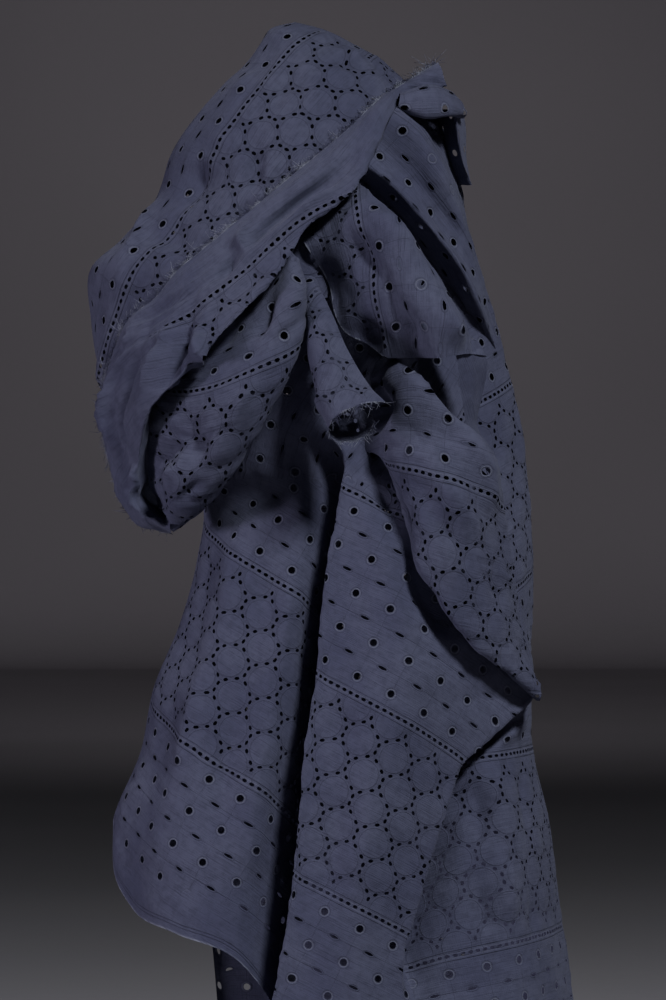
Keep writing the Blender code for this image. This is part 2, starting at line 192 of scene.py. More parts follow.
WRAP = Layer("wrap", (3,), (
    # raw edge
    ((52, -2, 26), (36, 8, 30), (22, 18, 47), (8, 32, 58), (-7, 45, 63), (-31, 65, 65),
     (-64, 92, 63), (-76, 102, 60), (-87, 115, 54), (-102, 127, 44), (-108, 140, 36),
     (-114, 158, 25), (-115, 178, 20), (-111, 198, 20), (-105, 216, 24), (-97, 226, 30),
     (-80, 231.5, 34)),
    # soft ridge along the strip
    ((54, 2, 30), (37, 10, 37), (25, 20, 56), (13, 35, 67), (0, 50, 73), (-24, 70, 75),
     (-54, 99, 75), (-67, 111, 73), (-79, 124, 68), (-93, 136, 61), (-100, 148, 53),
     (-107, 163, 42), (-108, 182, 38), (-106, 201, 38), (-104, 216, 40), (-96, 225, 42),
     (-80, 230.5, 46)),
    # soft hollow along the strip
    ((55, 6, 30), (37, 12, 38), (27, 22, 57), (17, 38, 70), (6, 55, 75), (-18, 76, 77),
     (-45, 107, 82), (-58, 120, 82), (-71, 133, 79), (-84, 145, 74), (-92, 156, 68),
     (-99, 168, 60), (-101, 185, 53), (-102, 202, 48), (-102.5, 215.5, 49), (-95, 224, 50),
     (-80, 229.5, 54)),
    # turned lower edge
    ((56.5, 10, 30), (38, 15, 37), (29.5, 25, 56), (22, 41, 70), (13, 60, 79), (-11, 82, 83),
     (-35, 115, 92), (-49, 130, 95), (-62, 143, 94), (-74, 155, 90), (-84, 165, 83),
     (-91, 174, 74), (-94, 188, 64), (-97, 203, 55), (-100, 215, 55), (-93, 222, 56),
     (-80, 227.5, 58)),
    # under the turned edge
    ((52, 8, 18), (33, 12, 24), (24, 21, 42), (13, 37, 54), (3, 54, 60), (-21, 74, 62),
     (-46, 106, 62), (-59, 120, 62), (-72, 133, 58), (-83, 146, 52), (-91, 159, 46),
     (-90, 176, 42), (-88, 188, 40), (-90, 201, 38), (-94, 211, 36), (-89, 217, 38),
     (-79, 222, 42)),
    # root, inside the drape
    ((43, 4, 2), (26, 10, 12), (15, 20, 30), (3, 34, 42), (-8, 48, 48), (-32, 68, 48),
     (-56, 97, 46), (-68, 110, 44), (-79, 123, 38), (-88, 137, 30), (-94, 152, 22),
     (-92, 170, 18), (-88, 184, 14), (-84, 196, 14), (-84, 204, 14), (-80, 208, 20),
     (-75, 212, 26)),
))

BAG = Layer("bag", (), (
    # under the wrap's turned edge
    ((-26, 88, 66), (-36, 106, 70), (-49, 121, 72), (-64, 136, 72), (-79, 152, 66),
     (-90, 172, 58), (-91, 192, 50), (-90, 208, 44), (-86, 218, 42)),
    # shaded hollow along the wrap
    ((-23, 91, 70), (-29, 108, 77), (-40, 124, 80), (-53, 140, 81), (-67, 157, 78),
     (-78, 176, 72), (-83, 195, 64), (-85, 211, 55), (-84, 221, 47)),
    # crown of the slack
    ((-20, 94, 73), (-20, 110, 86), (-25, 128, 93), (-33, 148, 97), (-45, 168, 98),
     (-56, 187, 94), (-66, 203, 86), (-76, 217, 74), (-82, 226, 54)),
    # rounded lower outline
    ((-17, 97, 72), (-14, 111, 82), (-15, 127, 88), (-20, 146, 92), (-30, 167, 92),
     (-41, 186, 88), (-52, 204, 80), (-66, 220, 68), (-79, 230, 52)),
    # turned behind
    ((-18, 97, 62), (-17, 112, 64), (-18, 129, 66), (-24, 147, 66), (-35, 168, 64),
     (-46, 186, 60), (-58, 203, 52), (-71, 218, 42), (-81, 228, 38)),
    # root, inside the drape
    ((-24, 96, 48), (-26, 112, 46), (-28, 129, 46), (-34, 146, 44), (-46, 165, 40),
     (-58, 180, 34), (-69, 194, 26), (-79, 208, 20), (-86, 220, 24)),
))

FLAP = Layer("flap", (4,), (
    # lower left free edge
    ((-20, 80, 54), (-13, 92, 72), (-7, 108, 76), (5, 134, 77), (15, 141, 78), (27, 146, 80)),
    # shaded face
    ((-14, 76, 56), (0, 84, 75), (10, 106, 83), (22, 128, 86), (32, 139, 86), (40, 146, 86)),
    # bend between the shaded and the lit face
    ((-4, 66, 56), (9, 74, 79), (26, 94, 95), (41, 115, 102), (49, 131, 102), (54, 146, 99)),
    # lit face
    ((6, 60, 56), (16, 68, 78), (34, 86, 90), (49, 107, 94), (60, 126, 94), (66, 144, 90)),
    # upper edge, running to the corner
    ((12, 58, 56), (20, 66, 74), (34, 81, 82), (46, 98, 84), (58, 118, 84), (74.5, 145, 80)),
    # turned under
    ((10, 62, 44), (17, 70, 56), (30, 86, 62), (42, 103, 64), (54, 122, 64), (70, 145, 68)),
))

CORNER = Layer("corner", (), (
    # left edge of the hanging corner
    ((56, 138, 95), (59, 144, 93), (62, 163, 85), (66, 180, 77), (73, 189, 67)),
    # its middle
    ((64, 136, 90), (67, 144, 87), (69, 163, 79), (69, 180, 73), (75, 189, 65)),
    # its right edge
    ((71, 138, 82), (74.5, 146, 79), (73.5, 162, 73), (70.5, 178, 70), (77, 190, 61)),
))

RIGHT_FOLDS = Layer("right_folds", (1,), (
    # groove under the ridge
    ((2, 52, 50), (20, 66, 50), (35, 82, 46), (48, 98, 40), (61, 117, 30), (77, 144, 8)),
    # narrow ridge
    ((14, 50, 68), (29, 61, 69), (44, 77, 64), (58, 93, 57), (70, 114, 46), (82, 144, 14)),
    # hollow beside the ridge
    ((22, 40, 60), (35, 54, 58), (48, 71, 52), (61, 88, 44), (71, 108, 35), (82, 136, 8)),
    # outer crest
    ((30, 24, 58), (41, 36, 60), (51, 51, 56), (60, 68, 48), (68, 88, 36), (79, 120, 6)),
    # root on the drape
    ((36, 18, 28), (46, 30, 28), (56, 46, 22), (63, 64, 16), (68, 84, 8), (77, 112, -2)),
))

LOBE = Layer("lobe", (), (
    # root under the wrap
    ((30, 18, 34), (42, 14, 30), (52, 13, 16), (56, 16, 4)),
    # upper face
    ((33, 16, 54), (46, 13, 54), (58, 15, 42), (64, 18, 26)),
    # lower lip
    ((32, 22, 56), (46, 26, 58), (58, 25, 48), (66, 24, 30)),
    # turned under
    ((30, 24, 40), (44, 25, 38), (54, 24, 28), (60, 24, 16)),
))

DROP = Layer("drop", (1,), (
    # shaded side, toward the drape
    ((48, 20, 10), (52, 34, 12), (56, 46, 12), (60, 58, 10)),
    # front edge
    ((61, 22, 34), (62, 34, 32), (64, 46, 28), (69, 58.5, 20)),
    # outer side
    ((64, 20, 16), (66, 34, 8), (67, 46, 4), (69, 57, 4)),
))

SWAG = Layer("swag", (1,), (
    # root of the upper edge
    ((22, 141, 54), (31, 148, 59), (46, 164, 60), (64, 184, 54), (76, 202, 40), (82, 228, 28),
     (88, 264, 22), (95, 303, 26)),
    # upper edge
    ((25, 142, 61), (34, 149, 82), (49, 165, 90), (68, 185, 86), (79, 202, 76),
     (85, 228, 65), (91, 266, 54), (99.5, 303, 44)),
    # upper face
    ((18, 155, 59), (28, 161, 84), (41, 180, 94), (56, 205, 97), (68, 230, 91),
     (78, 258, 80), (88, 284, 67), (101.5, 306, 54)),
    # lower face
    ((14, 172, 57), (24, 177, 79), (35, 205, 90), (46, 232, 96), (59, 255, 94),
     (73, 275, 84), (87, 292, 71), (102, 310.5, 57)),
    # lower fold
    ((13, 190, 54), (22, 194, 71), (29, 220, 82), (40, 248, 91), (54, 269, 92),
     (70, 288, 83), (86, 300, 70), (101, 314, 53)),
    # turned under
    ((16, 186, 50), (24, 190, 62), (32, 214, 64), (44, 240, 68), (58, 260, 68),
     (72, 279, 62), (86, 295, 50), (97, 312, 38)),
))

LAYERS = (WRAP, BAG, FLAP, CORNER, RIGHT_FOLDS, LOBE, DROP, SWAG)
LAYER_STEP = 2.4
FREE_EDGED = ("wrap", "flap")
SHOWN_WHOLE = ("corner", "drop")

# The rolled tail, a row per ring: its centre (across, down, forward), its radius and how far
# the outer edge of the roll has lifted away.
Ring = namedtuple("Ring", "across down forward radius lift")
TAIL = (
    Ring(-12, 106, 58, 3.5, 0.0),
    Ring(-10, 114, 70, 4.5, 0.0),
    Ring(-6.5, 127, 80, 7, 0.0),
    Ring(-3, 143, 90, 9.5, 0.5),
    Ring(2, 159, 95, 11.5, 2.0),
    Ring(6, 171, 101, 12.0, 5.0),
    Ring(9, 179, 108, 11.5, 9.0),
)
TAIL_SIDES = 40
TAIL_ROWS = 40
TAIL_FREE_ANGLE = 20.0
TAIL_ROLL_ANGLE = 325.0

# The laid-out pattern: two bands that repeat, with a border line between one and the next.
REPEAT = 180.0
DISC_BAND = 91.0
COLUMN = 19.25
ROUND_SHIFT = 2.8
ROUND_STEP = 18.0
LINE_PITCH = COLUMN / 5
ROUND_ROWS = [8.5 + ROUND_STEP * k for k in range(5)]
SLIT_ROWS = [17.5 + ROUND_STEP * k for k in range(4)]
DISC_STEP = 13.75
DISC_ROWS = [4.25 + DISC_STEP * k for k in range(7)]
DISC_RADIUS = 7.2
ROUND_RADIUS = 1.75
SLIT_HALF = (2.5, 0.74)
OVAL_HALF = (1.3, 0.86)
OVAL_TO_LINE = 2.6
LINE_HALF = (1.3, 0.88)
HOLE_TO_RIM = 0.9
# A hole of the back stays uncut where it lies straight behind another by this share of their sizes.
SIGHT_SHARE = 0.62
# On every panel but the left one, the distance to the free edge counts only up to here.
EDGE_REACH = 2.2

# How the pattern lies on each panel: the pattern height of one straight line on it, two marks
# that the line passes, one mark further down the pattern, a mark at a round eyelet, the pattern
# heights between which the panel is plain, the spacing of its mesh, the share of its length that
# is embroidered, and how deep its fine crinkles are.
Panel = namedtuple("Panel", "name height first last beyond eyelet plain spacing until crinkle")
PANELS = {panel.name: panel for panel in (
    Panel("hood", 0.0, (225, 135), (140, 260), (300, 150), (136, 250), None, 2.4, 1.0, 0.9),
    Panel("left", 0.0, (205, 530), (310, 605), (230, 650), (232, 536), None, 2.5, 1.0, 0.35),
    Panel("centre", 0.0, (316, 673), (457, 755), (340, 800), (386, 698), None, 2.3, 1.0, 0.25),
    Panel("right", 0.0, (470, 762), (530, 748), (510, 850), None, None, 2.6, 1.0, 0.5),
    Panel("back", 0.0, None, None, None, None, None, 4.4, 1.0, 0.5),
    Panel("wrap", 0.0, (350, 195), (195, 312), (215, 335), None, (-90.0, -1.2), 2.0, 0.64, 3.0),
    Panel("bag", 0.0, (190, 392), (297, 347), (250, 430), (285, 337), None, 2.1, 1.0, 1.6),
    Panel("flap", 0.0, (358, 210), (372, 275), (330, 290), (395, 284), None, 2.3, 1.0, 1.2),
    Panel("corner", 0.0, (455, 365), (475, 420), (480, 380), None, (-400.0, 400.0), 2.6, 1.0, 0.5),
    Panel("right_folds", -44.5, (380, 186), (470, 300), (400, 250), (424, 226), None, 2.5, 1.0, 1.3),
    Panel("lobe", -44.5, (400, 108), (460, 112), (430, 125), None, None, 2.5, 1.0, 1.0),
    Panel("drop", -44.5, (450, 110), (458, 170), (462, 150), None, None, 2.8, 1.0, 0.6),
    Panel("swag", 0.0, (380, 465), (497, 505), (440, 560), None, None, 2.4, 1.0, 1.2),
    Panel("tail", 18.0, (330, 320), (345, 430), (350, 400), None, None, 2.3, 1.0, 0.5),
)}

# Creases listed one by one, in marks of the front view: the panel, how far the cloth stands up or
# sinks, how wide the crease is, and its line.
Crease = namedtuple("Crease", "panel height width line")
CREASES = (
    Crease("hood", -2.6, 5.0, ((262, 146), (256, 172), (250, 196), (243, 222))),
    Crease("hood", 1.6, 4.5, ((272, 150), (266, 178), (258, 204))),
    Crease("hood", -2.0, 12.0, ((204, 156), (186, 208), (162, 250))),
    Crease("hood", 1.8, 6.0, ((158, 196), (138, 238), (120, 290), (106, 350), (102, 400))),
    Crease("hood", -1.2, 5.0, ((300, 66), (282, 92), (262, 122), (246, 150))),
    Crease("hood", 1.2, 5.0, ((342, 44), (358, 58), (376, 72))),
    Crease("hood", -1.4, 4.0, ((326, 48), (346, 64), (366, 84))),
    Crease("hood", -1.2, 4.0, ((226, 236), (206, 262), (184, 290))),
    Crease("hood", 1.0, 4.0, ((214, 230), (192, 262), (170, 290))),
    Crease("hood", -1.0, 5.0, ((205, 150), (190, 190), (170, 235))),
    Crease("hood", 1.0, 6.0, ((250, 70), (228, 110), (212, 150))),
    Crease("wrap", -3.0, 3.2, ((374, 128), (336, 172), (292, 206), (252, 238), (205, 276))),
    Crease("wrap", 2.4, 2.8, ((382, 128), (342, 182), (296, 218), (256, 250), (216, 284))),
    Crease("wrap", 2.4, 3.0, ((244, 222), (240, 240), (250, 262))),
    Crease("wrap", -2.0, 2.6, ((228, 240), (230, 262), (218, 284))),
    Crease("wrap", -3.6, 3.2, ((198, 284), (186, 316), (178, 350), (164, 386), (150, 412))),
    Crease("wrap", 2.8, 3.2, ((180, 296), (168, 330), (156, 362), (142, 396), (136, 430))),
    Crease("wrap", 2.9, 3.0, ((214, 300), (200, 330), (188, 358), (168, 392))),
    Crease("wrap", -2.8, 2.8, ((152, 316), (142, 350), (128, 384), (120, 420), (128, 470))),
    Crease("wrap", 2.9, 2.6, ((136, 322), (124, 350), (112, 382), (108, 420), (118, 470))),
    Crease("wrap", -1.4, 2.4, ((112, 404), (116, 440), (126, 478))),
    Crease("wrap", 1.6, 2.4, ((130, 440), (134, 474), (140, 500))),
    Crease("bag", -2.0, 4.0, ((152, 470), (172, 446), (196, 424))),
    Crease("bag", -3.2, 10.0, ((174, 466), (198, 444), (228, 420))),
    Crease("bag", 1.8, 4.0, ((160, 486), (186, 462), (216, 440))),
    Crease("bag", -1.6, 3.6, ((168, 506), (196, 486), (226, 468))),
    Crease("bag", 1.8, 3.6, ((292, 272), (297, 300), (290, 330))),
    Crease("bag", -2.2, 4.0, ((276, 290), (262, 326), (244, 360))),
    Crease("bag", -1.6, 3.4, ((250, 306), (226, 336), (202, 362))),
    Crease("bag", 1.4, 4.0, ((262, 372), (240, 400), (214, 430))),
    Crease("flap", 3.2, 6.0, ((370, 204), (396, 236), (420, 274), (446, 316), (462, 350))),
    Crease("flap", -5.0, 11.0, ((304, 236), (318, 280), (338, 326), (384, 352))),
    Crease("flap", -2.4, 6.0, ((346, 232), (374, 272), (402, 314), (424, 352))),
    Crease("right_folds", -2.6, 3.2, ((485, 362), (487, 380), (483, 404), (479, 428))),
    Crease("left", 1.8, 8.0, ((240, 560), (214, 640), (190, 720), (176, 790))),
    Crease("left", -1.8, 8.0, ((272, 560), (250, 660), (226, 760), (212, 850))),
    Crease("left", 1.4, 7.0, ((296, 560), (276, 680), (256, 800), (246, 900))),
    Crease("centre", -3.0, 7.0, ((372, 470), (396, 530), (424, 590), (458, 642))),
    Crease("centre", 1.4, 10.0, ((356, 500), (392, 590), (436, 690))),
    Crease("centre", -1.2, 8.0, ((346, 700), (340, 800), (326, 920))),
    Crease("centre", 1.2, 9.0, ((376, 720), (368, 820), (352, 930))),
    Crease("right", 1.8, 7.0, ((492, 760), (500, 840), (508, 930))),
    Crease("right", -1.8, 6.0, ((474, 770), (478, 850), (482, 940))),
    Crease("right", -1.4, 6.0, ((520, 760), (530, 850), (540, 940))),
    Crease("swag", -3.4, 10.0, ((368, 440), (380, 508), (404, 570), (436, 616))),
    Crease("swag", 3.4, 8.0, ((398, 372), (430, 402), (463, 436), (485, 470), (496, 520))),
    Crease("swag", -5.5, 9.0, ((372, 376), (374, 404), (376, 440))),
    Crease("swag", -1.6, 8.0, ((376, 404), (404, 420), (440, 430), (470, 440))),
    Crease("swag", -1.4, 5.0, ((404, 470), (436, 520), (470, 560), (506, 606))),
    Crease("swag", 1.2, 5.0, ((420, 450), (452, 494), (486, 540), (514, 590))),
    Crease("swag", -1.0, 4.0, ((396, 420), (420, 440), (452, 452))),
    Crease("tail", -0.9, 2.6, ((332, 340), (338, 380), (344, 420))),
)
FRINGE_COUNT = 1900
TAIL_FRINGE_COUNT = 160
FRINGE_RADIUS = 0.17
LONG_FRINGE_RUN = 26.0

# How a panel is laid out flat: the distance between nodes, the most nodes, and the turns taken.
FLAT_NODE = 11.0
FLAT_MOST = 900
FLAT_TURNS = 260


def slopes(points, knots, creases):
    """Slopes before and after each knot of a smooth curve, broken at the creases."""
    ends = (-1,) + (1,) * (points.ndim - 1)
    steps = np.diff(knots).reshape(ends)
    chords = np.diff(points, axis=0) / steps
    before = np.concatenate([chords[:1], chords])
    after = np.concatenate([chords, chords[-1:]])
    inner = (chords[:-1] * steps[1:] + chords[1:] * steps[:-1]) / (steps[1:] + steps[:-1])
    keep = [i for i in range(1, len(points) - 1) if i not in creases]
    for i in keep:
        before[i] = inner[i - 1]
        after[i] = inner[i - 1]
    return before, after


def curve(points, knots, where, creases=()):
    """Points at the given knot values of the smooth curve through these points."""
    points = np.asarray(points, float)
    knots = np.asarray(knots, float)
    where = np.asarray(where, float)
    before, after = slopes(points, knots, creases)
    cell = np.clip(np.searchsorted(knots, where, side="right") - 1, 0, len(knots) - 2)
    length = knots[cell + 1] - knots[cell]
    t = (where - knots[cell]) / length
    shape = (-1,) + (1,) * (points.ndim - 1)
    t = t.reshape(shape)
    length = length.reshape(shape)
    start = points[cell] * (2 * t**3 - 3 * t**2 + 1)
    leave = after[cell] * length * (t**3 - 2 * t**2 + t)
    end = points[cell + 1] * (3 * t**2 - 2 * t**3)
    reach = before[cell + 1] * length * (t**3 - t**2)
    return start + leave + end + reach


def chord_knots(points):
    """Knot values of a line of points: the distance along it."""
    steps = np.linalg.norm(np.diff(points, axis=0), axis=-1)
    return np.concatenate([[0.0], np.cumsum(np.maximum(steps, 1e-6))])


def to_scene(points):
    """Points of the tables, in metres from the hanging point, with Z up."""
    points = np.asarray(points, float) - np.array(HANGING_POINT)
    return np.stack([points[..., 0], -points[..., 2], -points[..., 1]], axis=-1) * MM


def on_outline(row, angle):
    """A point of the closed outline, with soft hanging folds behind that deepen downward."""
    middle = (row.left + row.right) / 2
    half = (row.right - row.left) / 2
    turn = math.radians(angle)
    rise = math.sin(turn)
    if rise >= 0:
        return (middle + half * math.cos(turn), row.down, row.front * rise)
    fullness = min(max((row.down + 10) / RIPPLE_FULL_DOWN, 0.0), 1.0)
    ripple = 1 + BACK_RIPPLE * fullness * math.sin(BACK_RIPPLE_TURNS * turn) * -rise
    return (middle + half * math.cos(turn), row.down, row.back * rise * ripple)


def fine_curve(points):
    points = np.asarray(points, float)
    knots = chord_knots(points)
    return curve(points, knots, np.linspace(0, knots[-1], ROUTE_STEPS))


def even_route(points, count):
    """A smooth route through the points, read at evenly spaced places."""
    fine = fine_curve(points)
    along = chord_knots(fine)
    places = np.linspace(0, along[-1], count)
    return np.stack([np.interp(places, along, fine[:, axis]) for axis in range(3)], axis=1)


def loft(guides, cells, creases=()):
    """A grid carried across the guides, with this many cells between one and the next."""
    guides = np.asarray(guides, float)
    gaps = np.linalg.norm(np.diff(guides, axis=0), axis=-1).mean(axis=1)
    knots = np.concatenate([[0.0], np.cumsum(gaps)])
    where = [knots[0]]
    for i, count in enumerate(cells):
        where.extend(np.linspace(knots[i], knots[i + 1], count + 1)[1:])
    return curve(guides, knots, where, creases)


def run_along(grid, axis):
    """Distances along the cloth from the first row or column of a grid."""
    steps = np.linalg.norm(np.diff(grid, axis=axis), axis=-1)
    run = np.cumsum(steps, axis=axis)
    return np.concatenate([np.zeros_like(run.take([0], axis=axis)), run], axis=axis)


def run_to_end(grid):
    """Distances along the cloth to the last column of a grid."""
    return run_along(grid[:, ::-1], 1)[:, ::-1]


def fall_levels(hem):
    """Heights of the rows of the drape, close together at the top where the cloth lies over."""
    body_end = 344.0
    top = APEX[1] + 20.0 * np.linspace(0, 1, 15) ** 1.7
    body = np.linspace(top[-1], body_end, 141)
    low = np.linspace(body_end, hem, 61)
    return np.concatenate([top[:-1], body[:-1], low])


def fold_line(fold):
    """One fold from the apex to the hem, with its points level with those of the others."""
    first = fold.points[0][1] if fold.points else 1e9
    upper = [on_outline(row, fold.angle) for row in HEIGHTS if row.down < first - 12]
    fine = fine_curve([APEX] + upper + list(fold.points))
    downs = fall_levels(fold.hem)
    reached = np.maximum.accumulate(fine[:, 1])
    across = np.interp(downs, reached, fine[:, 0])
    forward = np.interp(downs, reached, fine[:, 2])
    return np.stack([across, downs, forward], axis=1)


def fall_panels():
    """The drape as panels with shared edges: name, grid, distance to the free edge, last row."""
    guides = [fold_line(fold) for fold in FOLDS]
    guides.append(guides[0])
    creases = [i for i, fold in enumerate(FOLDS) if fold.crisp]
    cells = [fold.cells * FALL_FINE for fold in FOLDS]
    grid = loft(guides, cells, creases)
    starts = dict(zip([fold.name for fold in FOLDS], np.cumsum([0] + cells[:-1])))
    split = int(np.argmin(np.abs(grid[0, :, 1] - SPLIT_DOWN)))
    ranges = {
        "hood": (0, starts["tuck"], 0, split),
        "left": (0, starts["valley"], split, None),
        "centre": (starts["valley"], starts["tuck"], split, None),
        "right": (starts["tuck"], starts["right_side"], 0, None),
        "back": (starts["right_side"], len(grid) - 1, 0, None),
    }
    found = []
    for name, (low, high, top, bottom) in ranges.items():
        rows = slice(top, None if bottom is None else bottom + 1)
        part = grid[low:high + 1, rows]
        hem = run_to_end(part) + (FAR_FROM_EDGE if name == "hood" else 0.0)
        found.append((name, part, hem, len(part) - 1))
    return found


def layer_panels():
    """The layers in front, told as the panels of the drape are, up to the last row that shows."""
    found = []
    for layer in LAYERS:
        routes = [fine_curve(guide) for guide in layer.guides]
        longest = max(chord_knots(route)[-1] for route in routes)
        rows = max(8, math.ceil(longest / LAYER_STEP)) + 1
        guides = np.array([even_route(guide, rows) for guide in layer.guides])
        gaps = np.linalg.norm(np.diff(guides, axis=0), axis=-1).mean(axis=1)
        cells = [max(2, math.ceil(gap / LAYER_STEP)) for gap in gaps]
        grid = loft(guides, cells, layer.crisp)
        edge = np.full(grid.shape[:2], FAR_FROM_EDGE)
        if layer.name in FREE_EDGED:
            edge = run_along(grid, 0)
        shown = len(grid) - 1 if layer.name in SHOWN_WHOLE else sum(cells[:-1])
        found.append((layer.name, grid, edge, shown))
    return found


def tail_panel():
    """The rolled tail, ring by ring, each rolled a little less than once round."""
    centres = np.array([ring[:3] for ring in TAIL], float)
    knots = chord_knots(centres)
    places = np.linspace(0, knots[-1], TAIL_ROWS)
    spine = curve(centres, knots, places)
    radius = np.interp(places, knots, [ring.radius for ring in TAIL])
    lift = np.interp(places, knots, [ring.lift for ring in TAIL])
    ahead = np.gradient(spine, axis=0)
    ahead /= np.linalg.norm(ahead, axis=1, keepdims=True)
    side = np.cross(ahead, (0.0, 0.0, 1.0))
    side /= np.linalg.norm(side, axis=1, keepdims=True)
    front = np.cross(side, ahead)
    share = np.linspace(0, 1, TAIL_SIDES + 1)[:, None, None]
    turn = np.radians(TAIL_FREE_ANGLE + share * TAIL_ROLL_ANGLE)
    reach = radius[None, :, None] + lift[None, :, None] * np.maximum(0, 1 - share * 4) ** 2
    grid = spine[None] + reach * (np.cos(turn) * side[None] + np.sin(turn) * front[None])
    return ("tail", grid, run_to_end(grid), len(grid) - 1)


def spans(grid, rows, columns):
    """Pairs of nodes of a thinned grid and their distances along the cloth."""
    count = len(columns)
    pairs = []
    lengths = []
    run_across = run_along(grid, 0)
    run_down = run_along(grid, 1)
    for a, i in enumerate(rows):
        for b, j in enumerate(columns):
            here = a * count + b
            if a + 1 < len(rows):
                pairs.append((here, here + count))
                lengths.append(run_across[rows[a + 1], j] - run_across[i, j])
            if b + 1 < count:
                pairs.append((here, here + 1))
                lengths.append(run_down[i, columns[b + 1]] - run_down[i, j])
            if a + 1 < len(rows) and b + 1 < count:
                low, high = rows[a + 1], columns[b + 1]
                pairs.append((here, here + count + 1))
                lengths.append(path_length(grid, i, j, low, high))
                pairs.append((here + 1, here + count))
                lengths.append(path_length(grid, i, high, low, j))
    return np.array(pairs), np.array(lengths)


def sample(values, s, t):
    """Values of a grid at fractional places."""
    i = np.clip(np.floor(s).astype(int), 0, values.shape[0] - 2)
    j = np.clip(np.floor(t).astype(int), 0, values.shape[1] - 2)
    a = s - i
    b = t - j
    if values.ndim > 2:
        a = a[:, None]
        b = b[:, None]
    low = values[i, j] * (1 - a) + values[i + 1, j] * a
    high = values[i, j + 1] * (1 - a) + values[i + 1, j + 1] * a
    return low * (1 - b) + high * b


def path_length(grid, i, j, low, high):
    """Length over the cloth of the straight way from one place of the grid to another."""
    share = np.linspace(0, 1, 7)
    route = sample(grid, i + (low - i) * share, j + (high - j) * share)
    return np.linalg.norm(np.diff(route, axis=0), axis=1).sum()


def lay_flat(grid):
    """The grid laid out flat, with its distances along the cloth kept as nearly as they can be."""
    across, along = grid.shape[:2]
    width = np.linalg.norm(np.diff(grid, axis=0), axis=-1).sum(axis=0)
    length = np.linalg.norm(np.diff(grid, axis=1), axis=-1).sum(axis=1)
    node = max(FLAT_NODE, math.sqrt(width.mean() * length.mean() / FLAT_MOST))
    rows = np.unique(np.linspace(0, across - 1, max(4, int(width.max() / node) + 2)).astype(int))
    columns = np.unique(np.linspace(0, along - 1, max(4, int(length.max() / node) + 2)).astype(int))
    pairs, lengths = spans(grid, rows, columns)
    weight = 1 / np.maximum(lengths, 3.0) ** 2
    run = run_along(grid, 0)
    middle = rows[len(rows) // 2]
    first = (run - run[middle])[np.ix_(rows, columns)]
    second = run_along(grid[middle], 0)[columns]
    flat = np.stack([first, np.broadcast_to(second, first.shape)], axis=-1).reshape(-1, 2)
    a, b = pairs.T
    count = len(flat)
    pull = np.full((count, count), 1.0 / count)
    np.add.at(pull, (a, a), weight)
    np.add.at(pull, (b, b), weight)
    np.add.at(pull, (a, b), -weight)
    np.add.at(pull, (b, a), -weight)
    settle = np.linalg.inv(pull)
    for _ in range(FLAT_TURNS):
        gap = flat[a] - flat[b]
        reach = np.maximum(np.linalg.norm(gap, axis=1), 1e-6)
        force = (weight * lengths / reach)[:, None] * gap
        total = np.zeros_like(flat)
        np.add.at(total, a, force)
        np.add.at(total, b, -force)
        flat = settle @ total
    flat = flat.reshape(len(rows), len(columns), 2)
    flat = curve(flat, rows, np.arange(across))
    flat = np.swapaxes(curve(np.swapaxes(flat, 0, 1), columns, np.arange(along)), 0, 1)
    return flat


def in_view(points):
    """Marks of the front view, and depth toward the viewer, of points in the table's frame."""
    scene = to_scene(points)
    scale = MARKS_PER_METRE * VIEW_DISTANCE / (VIEW_DISTANCE + scene[..., 1])
    right = VIEW_CENTRE[0] + (scene[..., 0] - VIEW_TARGET[0]) * scale
    down = VIEW_CENTRE[1] - (scene[..., 2] - VIEW_TARGET[2]) * scale
    return right, down, points[..., 2]


def node_at(grid, mark, shown):
    """The node of a grid that the front view shows at this mark."""
    right, down, forward = in_view(grid[:shown + 1])
    miss = np.hypot(right - mark[0], down - mark[1]) + 0.2 * (forward.max() - forward)
    return np.unravel_index(int(np.argmin(miss)), miss.shape)


def pattern_on(panel, grid, flat, shown):
    """The flat panel turned and moved so that the pattern's lines pass its marks."""
    if panel.first is None:
        level = int(np.argmin(np.abs(grid[0, :, 1] - 345.0)))
        first, last, beyond = (0, level), (len(grid) - 1, level), (0, grid.shape[1] - 1)
    else:
        first = node_at(grid, panel.first, shown)
        last = node_at(grid, panel.last, shown)
        beyond = node_at(grid, panel.beyond, shown)
    start = flat[first]
    line = flat[last] - start
    line = line / np.linalg.norm(line)
    down = np.array((-line[1], line[0]))
    if np.dot(flat[beyond] - start, down) < 0:
        down = -down
    p = (flat - start) @ line
    q = (flat - start) @ down + panel.height
    if panel.eyelet is not None:
        found = node_at(grid, panel.eyelet, shown)
        p = p + ROUND_SHIFT - p[found]
    return np.stack([p, q], axis=-1)


def oval(p, q, long, short, turn, sides):
    """The corners of one hole."""
    angles = np.arange(sides) * 2 * math.pi / sides
    x = long * np.cos(angles)
    y = short * np.sin(angles)
    return np.stack([
        p + x * math.cos(turn) - y * math.sin(turn),
        q + x * math.sin(turn) + y * math.cos(turn),
    ], axis=1)


def columns_between(low, high, pitch, shift):
    """The places of an evenly spaced row that lie between two limits."""
    first = math.ceil((low - shift) / pitch)
    last = math.floor((high - shift) / pitch)
    return [shift + pitch * k for k in range(first, last + 1)]


